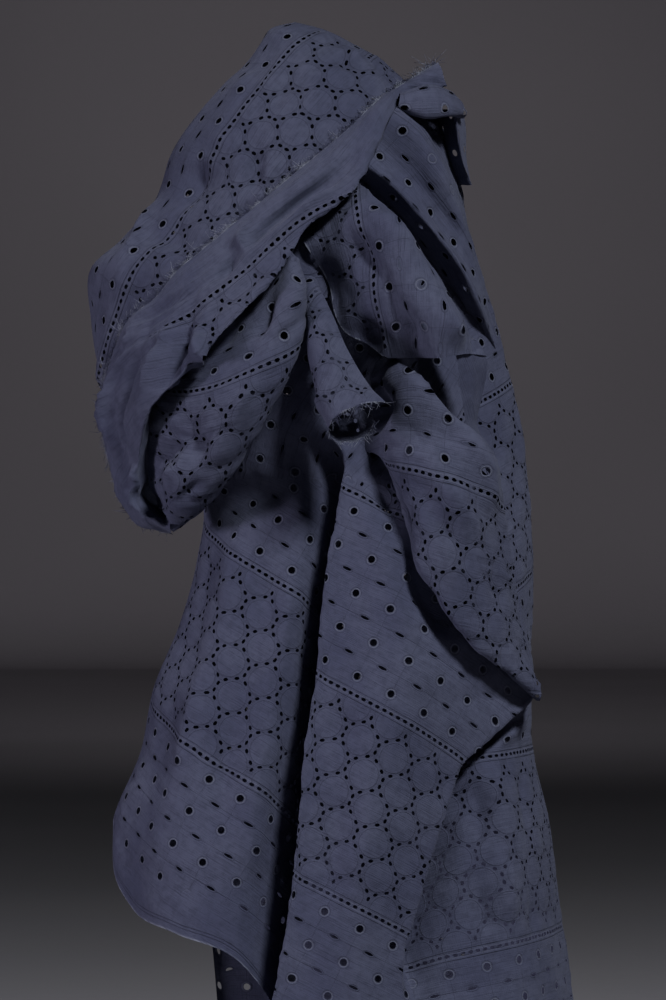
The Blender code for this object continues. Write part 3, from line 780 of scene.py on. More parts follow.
def eyelets(low, high):
    """Every hole of the pattern in a box: centre, half sizes, turn and number of sides."""
    found = []
    first = math.floor(low[1] / REPEAT)
    last = math.ceil(high[1] / REPEAT)
    for repeat in range(first, last + 1):
        base = repeat * REPEAT
        for line in (base, base + DISC_BAND):
            for p in columns_between(low[0], high[0], LINE_PITCH, 0.0):
                found.append((p, line, *LINE_HALF, 0.0, 6))
        for row in ROUND_ROWS:
            for p in columns_between(low[0], high[0], COLUMN, ROUND_SHIFT):
                found.append((p, base + DISC_BAND + row, ROUND_RADIUS, ROUND_RADIUS, 0.0, 12))
        for row in SLIT_ROWS:
            for p in columns_between(low[0], high[0], COLUMN, ROUND_SHIFT + COLUMN / 2):
                found.append((p, base + DISC_BAND + row, *SLIT_HALF, 0.0, 8))
        for k, row in enumerate(DISC_ROWS):
            shift = 0.0 if k % 2 else COLUMN / 2
            for p in columns_between(low[0], high[0], COLUMN, shift):
                for across, down, reach in (
                    (COLUMN, 0.0, 1.9), (COLUMN / 2, DISC_STEP, 2.9), (-COLUMN / 2, DISC_STEP, 2.9),
                ):
                    size = math.hypot(across, down)
                    along = (-down / size, across / size)
                    for side in (-reach, reach):
                        x = p + across / 2 + side * along[0]
                        y = row + down / 2 + side * along[1]
                        if OVAL_TO_LINE < y < DISC_BAND - OVAL_TO_LINE:
                            turn = math.atan2(along[1], along[0])
                            found.append((x, base + y, *OVAL_HALF, turn, 6))
    return [hole for hole in found if low[1] < hole[1] < high[1]]


def smooth(value):
    value = np.clip(value, 0, 1)
    return value * value * (3 - 2 * value)


def line_distance(points, line):
    """Distance to a line of points, and how far along it the nearest place is, from 0 to 1."""
    best = np.full(len(points), 1e9)
    place = np.zeros(len(points))
    run = chord_knots(line)
    for k in range(len(line) - 1):
        ray = line[k + 1] - line[k]
        size = max(float(ray @ ray), 1e-9)
        share = np.clip((points - line[k]) @ ray / size, 0, 1)
        gap = np.linalg.norm(points - line[k] - share[:, None] * ray, axis=1)
        closer = gap < best
        best[closer] = gap[closer]
        place[closer] = (run[k] + share[closer] * (run[k + 1] - run[k])) / run[-1]
    return best, place


def hollow(values, scale, stretch, seed):
    """Uneven relief of the cloth at one scale, stretched along its threads."""
    found = np.empty(len(values))
    for k, (p, q) in enumerate(values):
        found[k] = noise.noise(Vector((p / (scale * stretch), q / scale, seed)))
    return found


class FlatPanel:
    """A panel laid flat in the pattern, and the way back from the flat to its folds."""

    def __init__(self, name, grid, edge, shown):
        self.panel = PANELS[name]
        self.grid = grid
        self.edge = edge
        self.shown = shown
        self.flat = pattern_on(self.panel, grid, lay_flat(grid), shown)
        across, along = grid.shape[:2]
        normal = np.cross(np.gradient(grid, axis=0), np.gradient(grid, axis=1))
        size = np.linalg.norm(normal, axis=-1, keepdims=True)
        normal = normal / np.maximum(size, 1e-9)
        self.turned = normal[:shown + 1, :, 2].sum() < 0
        self.normal = -normal if self.turned else normal
        places = np.arange(across * along).reshape(across, along)
        a = places[:-1, :-1].ravel()
        b = places[1:, :-1].ravel()
        c = places[1:, 1:].ravel()
        d = places[:-1, 1:].ravel()
        self.triangles = np.concatenate([np.stack([a, b, c], 1), np.stack([a, c, d], 1)])
        points = np.zeros((across * along, 3))
        points[:, :2] = self.flat.reshape(-1, 2)
        self.tree = bvhtree.BVHTree.FromPolygons(points.tolist(), self.triangles.tolist())

    def places(self, points):
        """Grid places of flat points, and how far outside the panel each lies."""
        index = np.empty(len(points), int)
        miss = np.empty(len(points))
        for k, (p, q) in enumerate(points):
            hit = self.tree.find_nearest((p, q, 0.0))
            index[k] = hit[2]
            miss[k] = hit[3]
        corners = self.triangles[index]
        flat = self.flat.reshape(-1, 2)[corners]
        along = self.grid.shape[1]
        edge_a = flat[:, 1] - flat[:, 0]
        edge_b = flat[:, 2] - flat[:, 0]
        gap = points - flat[:, 0]
        size = edge_a[:, 0] * edge_b[:, 1] - edge_a[:, 1] * edge_b[:, 0]
        size = np.where(np.abs(size) < 1e-9, 1e-9, size)
        share_a = (gap[:, 0] * edge_b[:, 1] - gap[:, 1] * edge_b[:, 0]) / size
        share_b = (edge_a[:, 0] * gap[:, 1] - edge_a[:, 1] * gap[:, 0]) / size
        share_a = np.clip(share_a, 0, 1)
        share_b = np.clip(share_b, 0, 1 - share_a)
        rows = corners // along
        columns = corners % along
        share = np.stack([1 - share_a - share_b, share_a, share_b], 1)
        return (rows * share).sum(1), (columns * share).sum(1), miss

    def outline(self):
        """Grid places once round the panel's edge, without repeats."""
        across, along = self.grid.shape[:2]
        loop = [(i, 0) for i in range(across)]
        loop += [(across - 1, j) for j in range(1, along)]
        loop += [(i, along - 1) for i in range(across - 2, -1, -1)]
        loop += [(0, j) for j in range(along - 2, 0, -1)]
        kept = []
        for place in loop:
            if not kept or np.linalg.norm(self.grid[place] - self.grid[kept[-1]]) > 0.7:
                kept.append(place)
        if np.linalg.norm(self.grid[kept[-1]] - self.grid[kept[0]]) <= 0.7:
            kept.pop()
        return kept

    def relief(self, points, s, t, inside, settings):
        """How far each place stands off the smooth fold: creases, puckers and raised discs."""
        height = np.zeros(len(points))
        for crease in CREASES:
            if crease.panel != self.panel.name:
                continue
            nodes = [node_at(self.grid, mark, self.shown) for mark in crease.line]
            line = np.array([self.flat[node] for node in nodes])
            gap, place = line_distance(points, line)
            uneven = 0.8 + 0.5 * np.sin(place * 9.0 + crease.width)
            ends = smooth(np.minimum(place, 1 - place) * 5 + 0.12)
            height += crease.height * uneven * ends * np.exp(-(gap / crease.width) ** 1.5)
        height *= settings.crease_depth
        ridges = 0.5 - np.abs(hollow(points, 6.5, 7.0, 21.0)) * 1.8
        patches = smooth(hollow(points, 40.0, 1.5, 33.0) + 0.75)
        height += self.panel.crinkle * ridges * patches
        height += settings.pucker_depth / MM * (
            hollow(points, 16.0, 1.5, 3.0) * 1.3
            + hollow(points, 6.5, 2.0, 9.0) * 0.65
        )
        b = np.mod(points[:, 1], REPEAT)
        nearest = np.full(len(points), 99.0)
        for k, row in enumerate(DISC_ROWS):
            shift = 0.0 if k % 2 else COLUMN / 2
            x = np.mod(points[:, 0] - shift + COLUMN / 2, COLUMN) - COLUMN / 2
            nearest = np.minimum(nearest, np.hypot(x, b - row))
        crown = smooth(1.15 - nearest / DISC_RADIUS) * (b < DISC_BAND)
        height += settings.disc_rise / MM * crown
        if self.panel.name in ("hood", "left", "centre", "right", "back"):
            height *= smooth(inside / 7.0)
        if self.panel.name in ("wrap", "tail"):
            height *= smooth(inside / 3.6 + 0.1)
        return height


def cut_panel(sheet, settings, seen_holes):
    """The panel's mesh: points, triangles, pattern places, and the two values it carries."""
    flat = sheet.flat
    loop = sheet.outline()
    rim = np.array([flat[place] for place in loop])
    rim_tree = kdtree.KDTree(len(rim) * 3)
    for k, point in enumerate(rim):
        ahead = rim[(k + 1) % len(rim)]
        for part in range(3):
            place = point + (ahead - point) * part / 3
            rim_tree.insert((place[0], place[1], 0.0), k * 3 + part)
    rim_tree.balance()
    low = flat.reshape(-1, 2).min(0)
    high = flat.reshape(-1, 2).max(0)
    holes = eyelets(low, high)
    plain = sheet.panel.plain
    if plain is not None:
        holes = [hole for hole in holes if not plain[0] < hole[1] < plain[1]]
    margin = settings.plain_margin / MM if sheet.panel.name == "left" else 5.0
    outlines = []
    if holes:
        centres = np.array([hole[:2] for hole in holes])
        s, t, miss = sheet.places(centres)
        edge = sample(sheet.edge, s, t)
        fits = (miss < 1e-3) & (edge > margin) & (s <= sheet.shown)
        fits &= t <= (len(sheet.grid[0]) - 1) * sheet.panel.until
        for k in np.flatnonzero(fits):
            fits[k] = rim_tree.find((*holes[k][:2], 0.0))[2] > holes[k][2] + HOLE_TO_RIM
        right, down, _ = in_view(sample(sheet.grid, s, t))
        marks = [(right[k], down[k], max(holes[k][2:4])) for k in range(len(holes))]
        if sheet.panel.name == "back":
            ahead = np.array(seen_holes)
            for k in np.flatnonzero(fits):
                gap = np.hypot(ahead[:, 0] - marks[k][0], ahead[:, 1] - marks[k][1]) * 0.5
                fits[k] = (gap > SIGHT_SHARE * (ahead[:, 2] + marks[k][2])).all()
        seen_holes.extend(marks[k] for k in np.flatnonzero(fits))
        outlines = [oval(*hole) for hole, fit in zip(holes, fits) if fit]
    verts = [tuple(point) for point in rim]
    edges = [(k, (k + 1) % len(rim)) for k in range(len(rim))]
    hole_of = [-1] * len(rim)
    for k, outline in enumerate(outlines):
        base = len(verts)
        sides = len(outline)
        verts.extend(map(tuple, outline))
        edges.extend((base + side, base + (side + 1) % sides) for side in range(sides))
        hole_of.extend([k] * sides)
    taken = kdtree.KDTree(len(verts) + len(outlines))
    for k, point in enumerate(verts + [outline.mean(axis=0) for outline in outlines]):
        taken.insert((point[0], point[1], 0.0), k)
    taken.balance()
    spacing = sheet.panel.spacing * settings.mesh_spacing / MESH_SPACING
    filling = []
    for k, q in enumerate(np.arange(low[1], high[1], spacing * 0.866)):
        for p in np.arange(low[0] + (k % 2) * spacing / 2, high[0], spacing):
            if taken.find((p, q, 0.0))[2] > spacing * 0.46:
                filling.append((p, q))
    filling = np.array(filling)
    s, t, miss = sheet.places(filling)
    filling = filling[miss < 1e-3]
    verts.extend(map(tuple, filling))
    result = delaunay_2d_cdt([Vector(point) for point in verts], edges, [], 1, 1e-5)
    points = np.array([tuple(point) for point in result[0]])
    triangles = np.array([face for face in result[2] if len(face) == 3])
    origin = [first[0] if first else -1 for first in result[3]]
    hole_of = np.array(hole_of + [-1] * (len(verts) - len(hole_of)) + [-1])
    owner = hole_of[origin][triangles]
    cut = (owner[:, 0] >= 0) & (owner[:, 0] == owner[:, 1]) & (owner[:, 1] == owner[:, 2])
    triangles = triangles[~cut]
    s, t, miss = sheet.places(points)
    for k, source in enumerate(origin):
        if 0 <= source < len(loop):
            s[k], t[k] = loop[source]
    inside = np.array([rim_tree.find((p, q, 0.0))[2] for p, q in points])
    place = sample(sheet.grid, s, t)
    normal = sample(sheet.normal, s, t)
    place = place + normal * sheet.relief(points, s, t, inside, settings)[:, None]
    worked = np.ones(len(points))
    if plain is not None:
        worked[(points[:, 1] > plain[0]) & (points[:, 1] < plain[1])] = 0.0
    edge = sample(sheet.edge, s, t)
    worked *= smooth((edge - margin + 2.0) / 3.0)
    worked *= smooth((sheet.panel.until * (len(sheet.grid[0]) - 1) + 2.0 - t) / 3.0)
    if sheet.panel.name != "left":
        edge = np.where(edge > EDGE_REACH, 99.0, edge)
    a, b, c = place[triangles].swapaxes(0, 1)
    ray = np.cross(b - a, c - a)
    facing = np.einsum("ij,ij->i", ray, normal[triangles[:, 0]]).sum() > 0
    if facing == sheet.turned:
        triangles = triangles[:, ::-1]
    used = np.unique(triangles)
    renumber = np.full(len(points), -1)
    renumber[used] = np.arange(len(used))
    return place[used], renumber[triangles], points[used], worked[used], edge[used]


def all_panels():
    return fall_panels() + layer_panels() + [tail_panel()]


def cloth_mesh(name, settings):
    places = []
    faces = []
    flats = []
    worked = []
    edges = []
    count = 0
    seen_holes = []
    for panel in sorted(all_panels(), key=lambda panel: panel[0] == "back"):
        place, triangles, flat, work, edge = cut_panel(FlatPanel(*panel), settings, seen_holes)
        places.append(place)
        faces.append(triangles + count)
        flats.append(flat)
        worked.append(work)
        edges.append(np.minimum(edge, 60.0))
        count += len(place)
    faces = np.concatenate(faces)
    flats = np.concatenate(flats) * MM
    mesh = bpy.data.meshes.new(name)
    mesh.from_pydata(to_scene(np.concatenate(places)).tolist(), [], faces.tolist())
    layer = mesh.uv_layers.new(name="Pattern")
    layer.data.foreach_set("uv", flats[faces.ravel()].astype(np.float32).ravel())
    for title, values in (("worked", worked), ("edge", edges)):
        attribute = mesh.attributes.new(title, "FLOAT", "POINT")
        attribute.data.foreach_set("value", np.concatenate(values).astype(np.float32))
    form = bmesh.new()
    form.from_mesh(mesh)
    bmesh.ops.remove_doubles(form, verts=form.verts, dist=0.00001)
    bmesh.ops.dissolve_degenerate(form, edges=form.edges, dist=0.000001)
    bmesh.ops.triangulate(form, faces=[face for face in form.faces if len(face.verts) > 3])
    form.to_mesh(mesh)
    form.free()
    mesh.polygons.foreach_set("use_smooth", [True] * len(mesh.polygons))
    mesh.update()
    return mesh


def strand(base, out, across, length, bend, width, steps=4):
    """One loose thread: a thin three-sided tube that bends and tapers a little."""
    points = []
    rings = []
    for k in range(steps + 1):
        share = k / steps
        middle = base + out * length * share + bend * share * share * length
        turn_axis = np.cross(out, across)
        ring = []
        for side in range(3):
            angle = side * 2 * math.pi / 3
            radius = width * (1 - 0.45 * share)
            ring.append(middle + radius * (math.cos(angle) * across + math.sin(angle) * turn_axis))
        rings.append(ring)
    for ring in rings:
        points.extend(ring)
    faces = []
    for k in range(steps):
        for side in range(3):
            a = k * 3 + side
            b = k * 3 + (side + 1) % 3
            faces.append((a, b, b + 3, a + 3))
    faces.append((2, 1, 0))
    faces.append((steps * 3, steps * 3 + 1, steps * 3 + 2))
    return points, faces


def fringe_mesh(name, settings):
    """Threads that stand out of the raw edge of the wrap and of the open end of the tail."""
    chance = np.random.default_rng(7)
    panels = {panel[0]: panel for panel in layer_panels() + [tail_panel()]}
    wrap = panels["wrap"][1]
    tail = panels["tail"][1]
    points = []
    faces = []
    rows = [("wrap", wrap[0], wrap[0] - wrap[2], FRINGE_COUNT)]
    rows.append(("tail", tail[:, -1], tail[:, -1] - tail[:, -3], TAIL_FRINGE_COUNT))
    for title, edge, outward, count in rows:
        run = chord_knots(edge)
        for place in np.sort(chance.random(count)) * run[-1]:
            base = np.array([np.interp(place, run, edge[:, axis]) for axis in range(3)])
            out = np.array([np.interp(place, run, outward[:, axis]) for axis in range(3)])
            out = out / np.linalg.norm(out)
            along = np.gradient(edge, axis=0)[int(np.searchsorted(run, place) - 1)]
            along = along / np.linalg.norm(along)
            lean = chance.normal(0, 0.55)
            out = out + along * lean + chance.normal(0, 0.22, 3)
            out = out / np.linalg.norm(out)
            length = settings.fringe_length / MM * chance.lognormal(-0.15, 0.45)
            near_tip = title == "wrap" and place < LONG_FRINGE_RUN
            length = length * (1.7 if near_tip else 1.0)
            bend = chance.normal(0, 0.38, 3)
            across = np.cross(out, (0.31, 0.52, 0.79))
            across = across / np.linalg.norm(across)
            new_points, new_faces = strand(base - out * 0.6, out, across, length, bend,
                                           FRINGE_RADIUS)
            faces.extend(tuple(index + len(points) for index in face) for face in new_faces)
            points.extend(new_points)
    mesh = bpy.data.meshes.new(name)
    mesh.from_pydata(to_scene(np.array(points)).tolist(), [], faces)
    mesh.polygons.foreach_set("use_smooth", [True] * len(mesh.polygons))
    mesh.update()
    return mesh


class Graph:
    """Short ways to add the shader nodes that the materials share."""

    def __init__(self, name):
        self.material = bpy.data.materials.new(name)
        self.material.use_nodes = True
        self.nodes = self.material.node_tree.nodes
        self.links = self.material.node_tree.links
        self.shader = self.nodes["Principled BSDF"]

    def put(self, socket, value):
        if isinstance(value, bpy.types.NodeSocket):
            self.links.new(value, socket)
        else:
            socket.default_value = value

    def math(self, operation, *values):
        node = self.nodes.new("ShaderNodeMath")
        node.operation = operation
        for k, value in enumerate(values):
            self.put(node.inputs[k], value)
        return node.outputs[0]

    def times(self, *values):
        """The product."""
        return self.math("MULTIPLY", *values)

    def plus(self, *values):
        """The sum."""
        return self.math("ADD", *values)

    def minus(self, *values):
        """The first less the second."""
        return self.math("SUBTRACT", *values)

    def most(self, *values):
        """The larger."""
        return self.math("MAXIMUM", *values)

    def least(self, *values):
        """The smaller."""
        return self.math("MINIMUM", *values)

    def size(self, *values):
        """The value without its sign."""
        return self.math("ABSOLUTE", *values)

    def wrapped(self, value, span):
        """The value brought to within half a span of zero."""
        shifted = self.plus(value, span / 2)
        turned = self.math("FLOORED_MODULO", shifted, span)
        return self.minus(turned, span / 2)

    def length(self, x, y):
        squares = self.plus(self.times(x, x), self.times(y, y))
        return self.math("SQRT", squares)

    def peak(self, value, centre, half):
        """One at the centre, falling to nothing at half a width each side."""
        miss = self.size(self.minus(value, centre))
        return self.fall(miss, 0.0, half)

    def fall(self, value, low, high):
        node = self.nodes.new("ShaderNodeMapRange")
        node.interpolation_type = "SMOOTHSTEP"
        self.put(node.inputs["Value"], value)
        node.inputs["From Min"].default_value = low
        node.inputs["From Max"].default_value = high
        node.inputs["To Min"].default_value = 1.0
        node.inputs["To Max"].default_value = 0.0
        return node.outputs["Result"]

    def noise(self, vector, scale, detail=3.0, roughness=0.55):
        node = self.nodes.new("ShaderNodeTexNoise")
        self.put(node.inputs["Vector"], vector)
        node.inputs["Scale"].default_value = scale
        node.inputs["Detail"].default_value = detail
        node.inputs["Roughness"].default_value = roughness
        return node.outputs["Fac"]

    def mix(self, share, first, second):
        node = self.nodes.new("ShaderNodeMix")
        node.data_type = "RGBA"
        self.put(node.inputs["Factor"], share)
        self.put(node.inputs["A"], first)
        self.put(node.inputs["B"], second)
        return node.outputs["Result"]

    def vector(self, x, y, z=0.0):
        node = self.nodes.new("ShaderNodeCombineXYZ")
        self.put(node.inputs[0], x)
        self.put(node.inputs[1], y)
        self.put(node.inputs[2], z)
        return node.outputs[0]

    def value(self, name):
        node = self.nodes.new("ShaderNodeAttribute")
        node.attribute_name = name
        return node.outputs["Fac"]

    def bump(self, height, distance, strength=1.0, normal=None):
        node = self.nodes.new("ShaderNodeBump")
        node.inputs["Strength"].default_value = strength
        node.inputs["Distance"].default_value = distance
        self.put(node.inputs["Height"], height)
        if normal is not None:
            self.put(node.inputs["Normal"], normal)
        return node.outputs["Normal"]


def embroidery(graph, p, q):
    """Stitching of the pattern in millimetres: raised rings, fine dark lines, and the net."""
    repeat = graph.math("FLOORED_MODULO", q, REPEAT)
    first_line = graph.size(graph.wrapped(q, REPEAT))
    second_line = graph.size(graph.wrapped(graph.minus(q, DISC_BAND), REPEAT))
    line = graph.least(first_line, second_line)
    in_discs = graph.math("LESS_THAN", repeat, DISC_BAND)
    in_rounds = graph.minus(1.0, in_discs)
    line_ridge = graph.times(graph.peak(line, 1.15, 0.5), 0.4)
    line_stitch = graph.peak(line, 2.3, 0.34)

    row = graph.minus(repeat, DISC_BAND + ROUND_ROWS[0])
    y = graph.wrapped(row, 18.0)
    x = graph.wrapped(graph.minus(p, ROUND_SHIFT), COLUMN)
    reach = graph.length(x, y)
    ring = graph.peak(reach, ROUND_RADIUS + 0.45, 0.5)
    outer = graph.times(graph.peak(reach, ROUND_RADIUS * 1.75, 0.3), 0.45)
    slit_y = graph.wrapped(graph.minus(row, 9.0), 18.0)
    slit_x = graph.wrapped(graph.minus(p, ROUND_SHIFT + COLUMN / 2), COLUMN)
    flat_x = graph.math("DIVIDE", slit_x, SLIT_HALF[0] + 0.6)
    flat_y = graph.math("DIVIDE", slit_y, SLIT_HALF[1] + 0.55)
    lens = graph.times(graph.peak(graph.length(flat_x, flat_y), 1.0, 0.24), 0.6)
    joined = graph.times(graph.peak(slit_y, 0.0, 0.26), 0.6)
    joined = graph.times(joined, graph.math("GREATER_THAN", graph.size(slit_x), 3.4))
    crossed = graph.peak(x, 0.0, 0.24)
    crossed = graph.times(crossed, graph.math("GREATER_THAN", reach, 3.2))
    crossed = graph.times(crossed, 0.5)
    round_rings = graph.times(ring, in_rounds)
    round_lines = graph.most(graph.most(outer, lens), joined)
    round_lines = graph.times(graph.most(round_lines, crossed), in_rounds)

    even_y = graph.wrapped(graph.minus(repeat, DISC_ROWS[1]), 2 * DISC_STEP)
    even_x = graph.wrapped(p, COLUMN)
    odd_y = graph.wrapped(graph.minus(repeat, DISC_ROWS[0]), 2 * DISC_STEP)
    odd_x = graph.wrapped(graph.minus(p, COLUMN / 2), COLUMN)
    disc = graph.least(graph.length(even_x, even_y), graph.length(odd_x, odd_y))
    circle = graph.times(graph.peak(disc, DISC_RADIUS, 0.32), in_discs)
    circle = graph.times(circle, 0.55)
    net = graph.minus(1.0, graph.fall(disc, DISC_RADIUS, DISC_RADIUS + 0.8))
    net = graph.times(net, in_discs)
    away = graph.minus(1.0, graph.fall(line, 1.2, 2.6))
    net = graph.times(net, away)
    rings = graph.most(round_rings, line_ridge)
    lines = graph.most(graph.most(circle, line_stitch), round_lines)
    return rings, lines, net


def cotton_material(settings):
    graph = Graph("Slate cotton cloth")
    uv = graph.nodes.new("ShaderNodeUVMap")
    uv.uv_map = "Pattern"
    split = graph.nodes.new("ShaderNodeSeparateXYZ")
    graph.links.new(uv.outputs[0], split.inputs[0])
    p = graph.times(split.outputs[0], 1000.0)
    q = graph.times(split.outputs[1], 1000.0)
    worked = graph.value("worked")
    edge = graph.value("edge")
    sway = graph.noise(graph.vector(p, q), 0.12, 2.0)
    p_swayed = graph.plus(p, graph.times(graph.minus(sway, 0.5), 1.2))
    q_swayed = graph.plus(q, graph.times(graph.minus(sway, 0.5), -1.0))
    rings, lines, net = embroidery(graph, p, q)
    rings = graph.times(rings, worked)
    lines = graph.times(lines, worked)
    net = graph.times(net, worked)

    slub_place = graph.vector(graph.times(p_swayed, 0.05), graph.times(q_swayed, 1.5))
    slub = graph.noise(slub_place, 1.0, 3.0, 0.6)
    slub_line = graph.fall(slub, 0.30, 0.40)
    cross_place = graph.vector(graph.times(p_swayed, 1.8), graph.times(q_swayed, 0.06))
    cross = graph.noise(cross_place, 1.0, 2.0, 0.6)
    weft = graph.math("SINE", graph.times(q_swayed, 2 * math.pi / 0.42))
    warp = graph.math("SINE", graph.times(p_swayed, 2 * math.pi / 0.46))
    weave = graph.times(weft, warp)
    cloudy = graph.noise(graph.vector(p, q, 4.0), 0.022, 3.0)
    mottle = graph.noise(graph.vector(p, q, 8.0), 0.28, 4.0, 0.65)

    deep = (*[channel * 0.62 for channel in settings.cloth_colour], 1.0)
    base = (*settings.cloth_colour, 1.0)
    dusty = (*settings.dusty_colour, 1.0)
    thread = (*settings.thread_colour, 1.0)
    colour = graph.mix(graph.fall(cloudy, 0.62, 0.34), base, dusty)
    tone = graph.plus(graph.times(mottle, 0.75), graph.times(slub, 0.55))
    colour = graph.mix(graph.times(graph.fall(tone, 0.42, 0.78), 0.55), colour, deep)
    colour = graph.mix(graph.times(slub_line, 0.6), colour, deep)
    # Painted shade: the net zone between the discs is painted darker to stand in for the small
    # shadows of its dense stitching; its relief is the bump below
    colour = graph.mix(graph.times(net, 0.22), colour, deep)
    colour = graph.mix(graph.times(rings, 0.24), colour, thread)
    dark = (*[channel * 0.34 for channel in settings.cloth_colour], 1.0)
    colour = graph.mix(graph.times(lines, 0.62), colour, dark)
    hem_line = graph.most(graph.peak(edge, 4.0, 0.5), graph.peak(edge, 5.6, 0.5))
    colour = graph.mix(graph.times(hem_line, 0.5), colour, dark)
    frayed = graph.times(graph.fall(edge, 0.1, 1.3), graph.fall(slub, 0.75, 0.3))
    colour = graph.mix(graph.times(frayed, 0.9), colour, thread)
    graph.put(graph.shader.inputs["Base Color"], colour)
    rough = graph.plus(0.80, graph.times(mottle, 0.2))
    graph.put(graph.shader.inputs["Roughness"], rough)
    graph.shader.inputs["Specular IOR Level"].default_value = 0.22
    graph.shader.inputs["Sheen Weight"].default_value = 0.22
    graph.shader.inputs["Sheen Roughness"].default_value = 0.45
    graph.shader.inputs["Sheen Tint"].default_value = (*settings.thread_colour, 1.0)

    relief = graph.plus(graph.times(rings, 0.9), graph.times(lines, -0.8))
    relief = graph.plus(relief, graph.times(graph.times(net, mottle), 0.8))
    relief = graph.plus(relief, graph.times(hem_line, -0.7))
    normal = graph.bump(relief, 0.0003)
    threads = graph.plus(graph.times(slub, 1.1), graph.times(cross, 0.5))
    threads = graph.plus(threads, graph.times(mottle, 0.9))
    normal = graph.bump(threads, 0.00035, 1.0, normal)
    normal = graph.bump(weave, 0.00004, 0.8, normal)
    graph.put(graph.shader.inputs["Normal"], normal)
    return graph.material


def thread_material(settings):
    graph = Graph("Slate cotton thread")
    place = graph.nodes.new("ShaderNodeTexCoord").outputs["Object"]
    twist = graph.noise(place, 2600.0, 2.0)
    patch = graph.noise(place, 140.0, 2.0)
    base = (*settings.cloth_colour, 1.0)
    thread = (*settings.thread_colour, 1.0)
    colour = graph.mix(graph.fall(patch, 0.62, 0.38), base, thread)
    dark = (*[channel * 0.5 for channel in settings.cloth_colour], 1.0)
    colour = graph.mix(graph.times(graph.fall(twist, 0.5, 0.4), 0.4), colour, dark)
    graph.put(graph.shader.inputs["Base Color"], colour)
    graph.shader.inputs["Roughness"].default_value = 0.9
    graph.shader.inputs["Specular IOR Level"].default_value = 0.2
    graph.put(graph.shader.inputs["Normal"], graph.bump(twist, 0.00008))
    return graph.material


def stage_material(settings):
    graph = Graph("Plain stage")
    place = graph.nodes.new("ShaderNodeTexCoord").outputs["Object"]
    grain = graph.noise(place, 60.0, 4.0, 0.7)
    cloud = graph.noise(place, 0.8, 2.0)
    base = (*settings.stage_colour, 1.0)
    low = (*[channel * 0.92 for channel in settings.stage_colour], 1.0)
    colour = graph.mix(graph.fall(cloud, 0.62, 0.38), base, low)
    colour = graph.mix(graph.times(grain, 0.10), colour, low)
    graph.put(graph.shader.inputs["Base Color"], colour)
    graph.shader.inputs["Roughness"].default_value = 0.95
    graph.shader.inputs["Specular IOR Level"].default_value = 0.1
    graph.put(graph.shader.inputs["Normal"], graph.bump(grain, 0.0006))
    return graph.material


class EyeletClothSettings(bpy.types.PropertyGroup):
    """Sizes and colours of the cloth and of its loose threads."""

    cloth_colour: FloatVectorProperty(
        name="Cloth colour", description="Dyed colour of the cotton", subtype="COLOR",
        size=3, min=0.0, max=1.0, default=(0.078, 0.077, 0.132),
    )
    dusty_colour: FloatVectorProperty(
        name="Worn colour", description="Colour where the dye has rubbed paler", subtype="COLOR",
        size=3, min=0.0, max=1.0, default=(0.098, 0.098, 0.155),
    )
    thread_colour: FloatVectorProperty(
        name="Thread colour", description="Colour of the stitched rings and frayed threads",
        subtype="COLOR", size=3, min=0.0, max=1.0, default=(0.30, 0.31, 0.38),
    )
    mesh_spacing: FloatProperty(
        name="Mesh spacing", description="Distance between the points of the front panels",
        unit="LENGTH", min=0.0016, max=0.01, default=MESH_SPACING, precision=4,
    )
    crease_depth: FloatProperty(
        name="Crease depth", description="How deep the creases placed by hand are, as a share",
        subtype="FACTOR", min=0.0, max=3.0, default=1.9,
    )
    pucker_depth: FloatProperty(
        name="Pucker depth", description="How far the small puckers stand off the cloth",
        unit="LENGTH", min=0.0, max=0.003, default=0.0007, precision=4,
    )
    disc_rise: FloatProperty(
        name="Disc rise", description="How far the plain discs stand off the stitched net",
        unit="LENGTH", min=0.0, max=0.002, default=0.00035, precision=4,
    )
    plain_margin: FloatProperty(
        name="Plain margin", description="Width of the plain strip along the left hem",
        unit="LENGTH", min=0.0, max=0.1, default=0.024,
    )
    fringe_length: FloatProperty(
        name="Fringe length", description="Middle length of the threads at the raw edges",
        unit="LENGTH", min=0.0005, max=0.02, default=0.0030, precision=4,
    )


class EyeletStageSettings(bpy.types.PropertyGroup):
    """The plain stage and its light."""

    stage_colour: FloatVectorProperty(
        name="Stage colour", description="Colour of the floor and of the wall behind",
        subtype="COLOR", size=3, min=0.0, max=1.0, default=(0.42, 0.40, 0.425),
    )
    key_power: FloatProperty(
        name="Key light", description="Power of the soft light at the upper right",
        unit="POWER", min=0.0, max=2000.0, default=12.5,
    )
    side_power: FloatProperty(
        name="Side light", description="Power of the weak violet light at the left",
        unit="POWER", min=0.0, max=2000.0, default=2.5,
    )
    wall_power: FloatProperty(
        name="Wall light", description="Power of the light on the wall behind",
        unit="POWER", min=0.0, max=4000.0, default=6.5,
    )
    floor_drop: FloatProperty(
        name="Floor drop", description="Gap between the lowest hem and the floor",
        unit="LENGTH", min=0.0, max=0.5, default=0.012,
    )


def drop_object(name):
    old = bpy.data.objects.get(name)
    if old is not None:
        bpy.data.objects.remove(old, do_unlink=True)


class EYELET_OT_cloth(bpy.types.Operator):
    """Make the cloth with its folds, creases and cut eyelets"""

    bl_idname = "eyelet.make_cloth"
    bl_label = "Make cloth"

    def execute(self, context):
        settings = context.scene.eyelet_cloth
        drop_object("eyelet_cloth")
        mesh = cloth_mesh("eyelet_cloth", settings)
        if not mesh.polygons:
            raise RuntimeError("the cloth has no faces")
        mesh.materials.append(cotton_material(settings))
        cloth = bpy.data.objects.new("eyelet_cloth", mesh)
        context.scene.collection.objects.link(cloth)
        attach(cloth, "root")
        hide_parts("cloth")
        return {"FINISHED"}


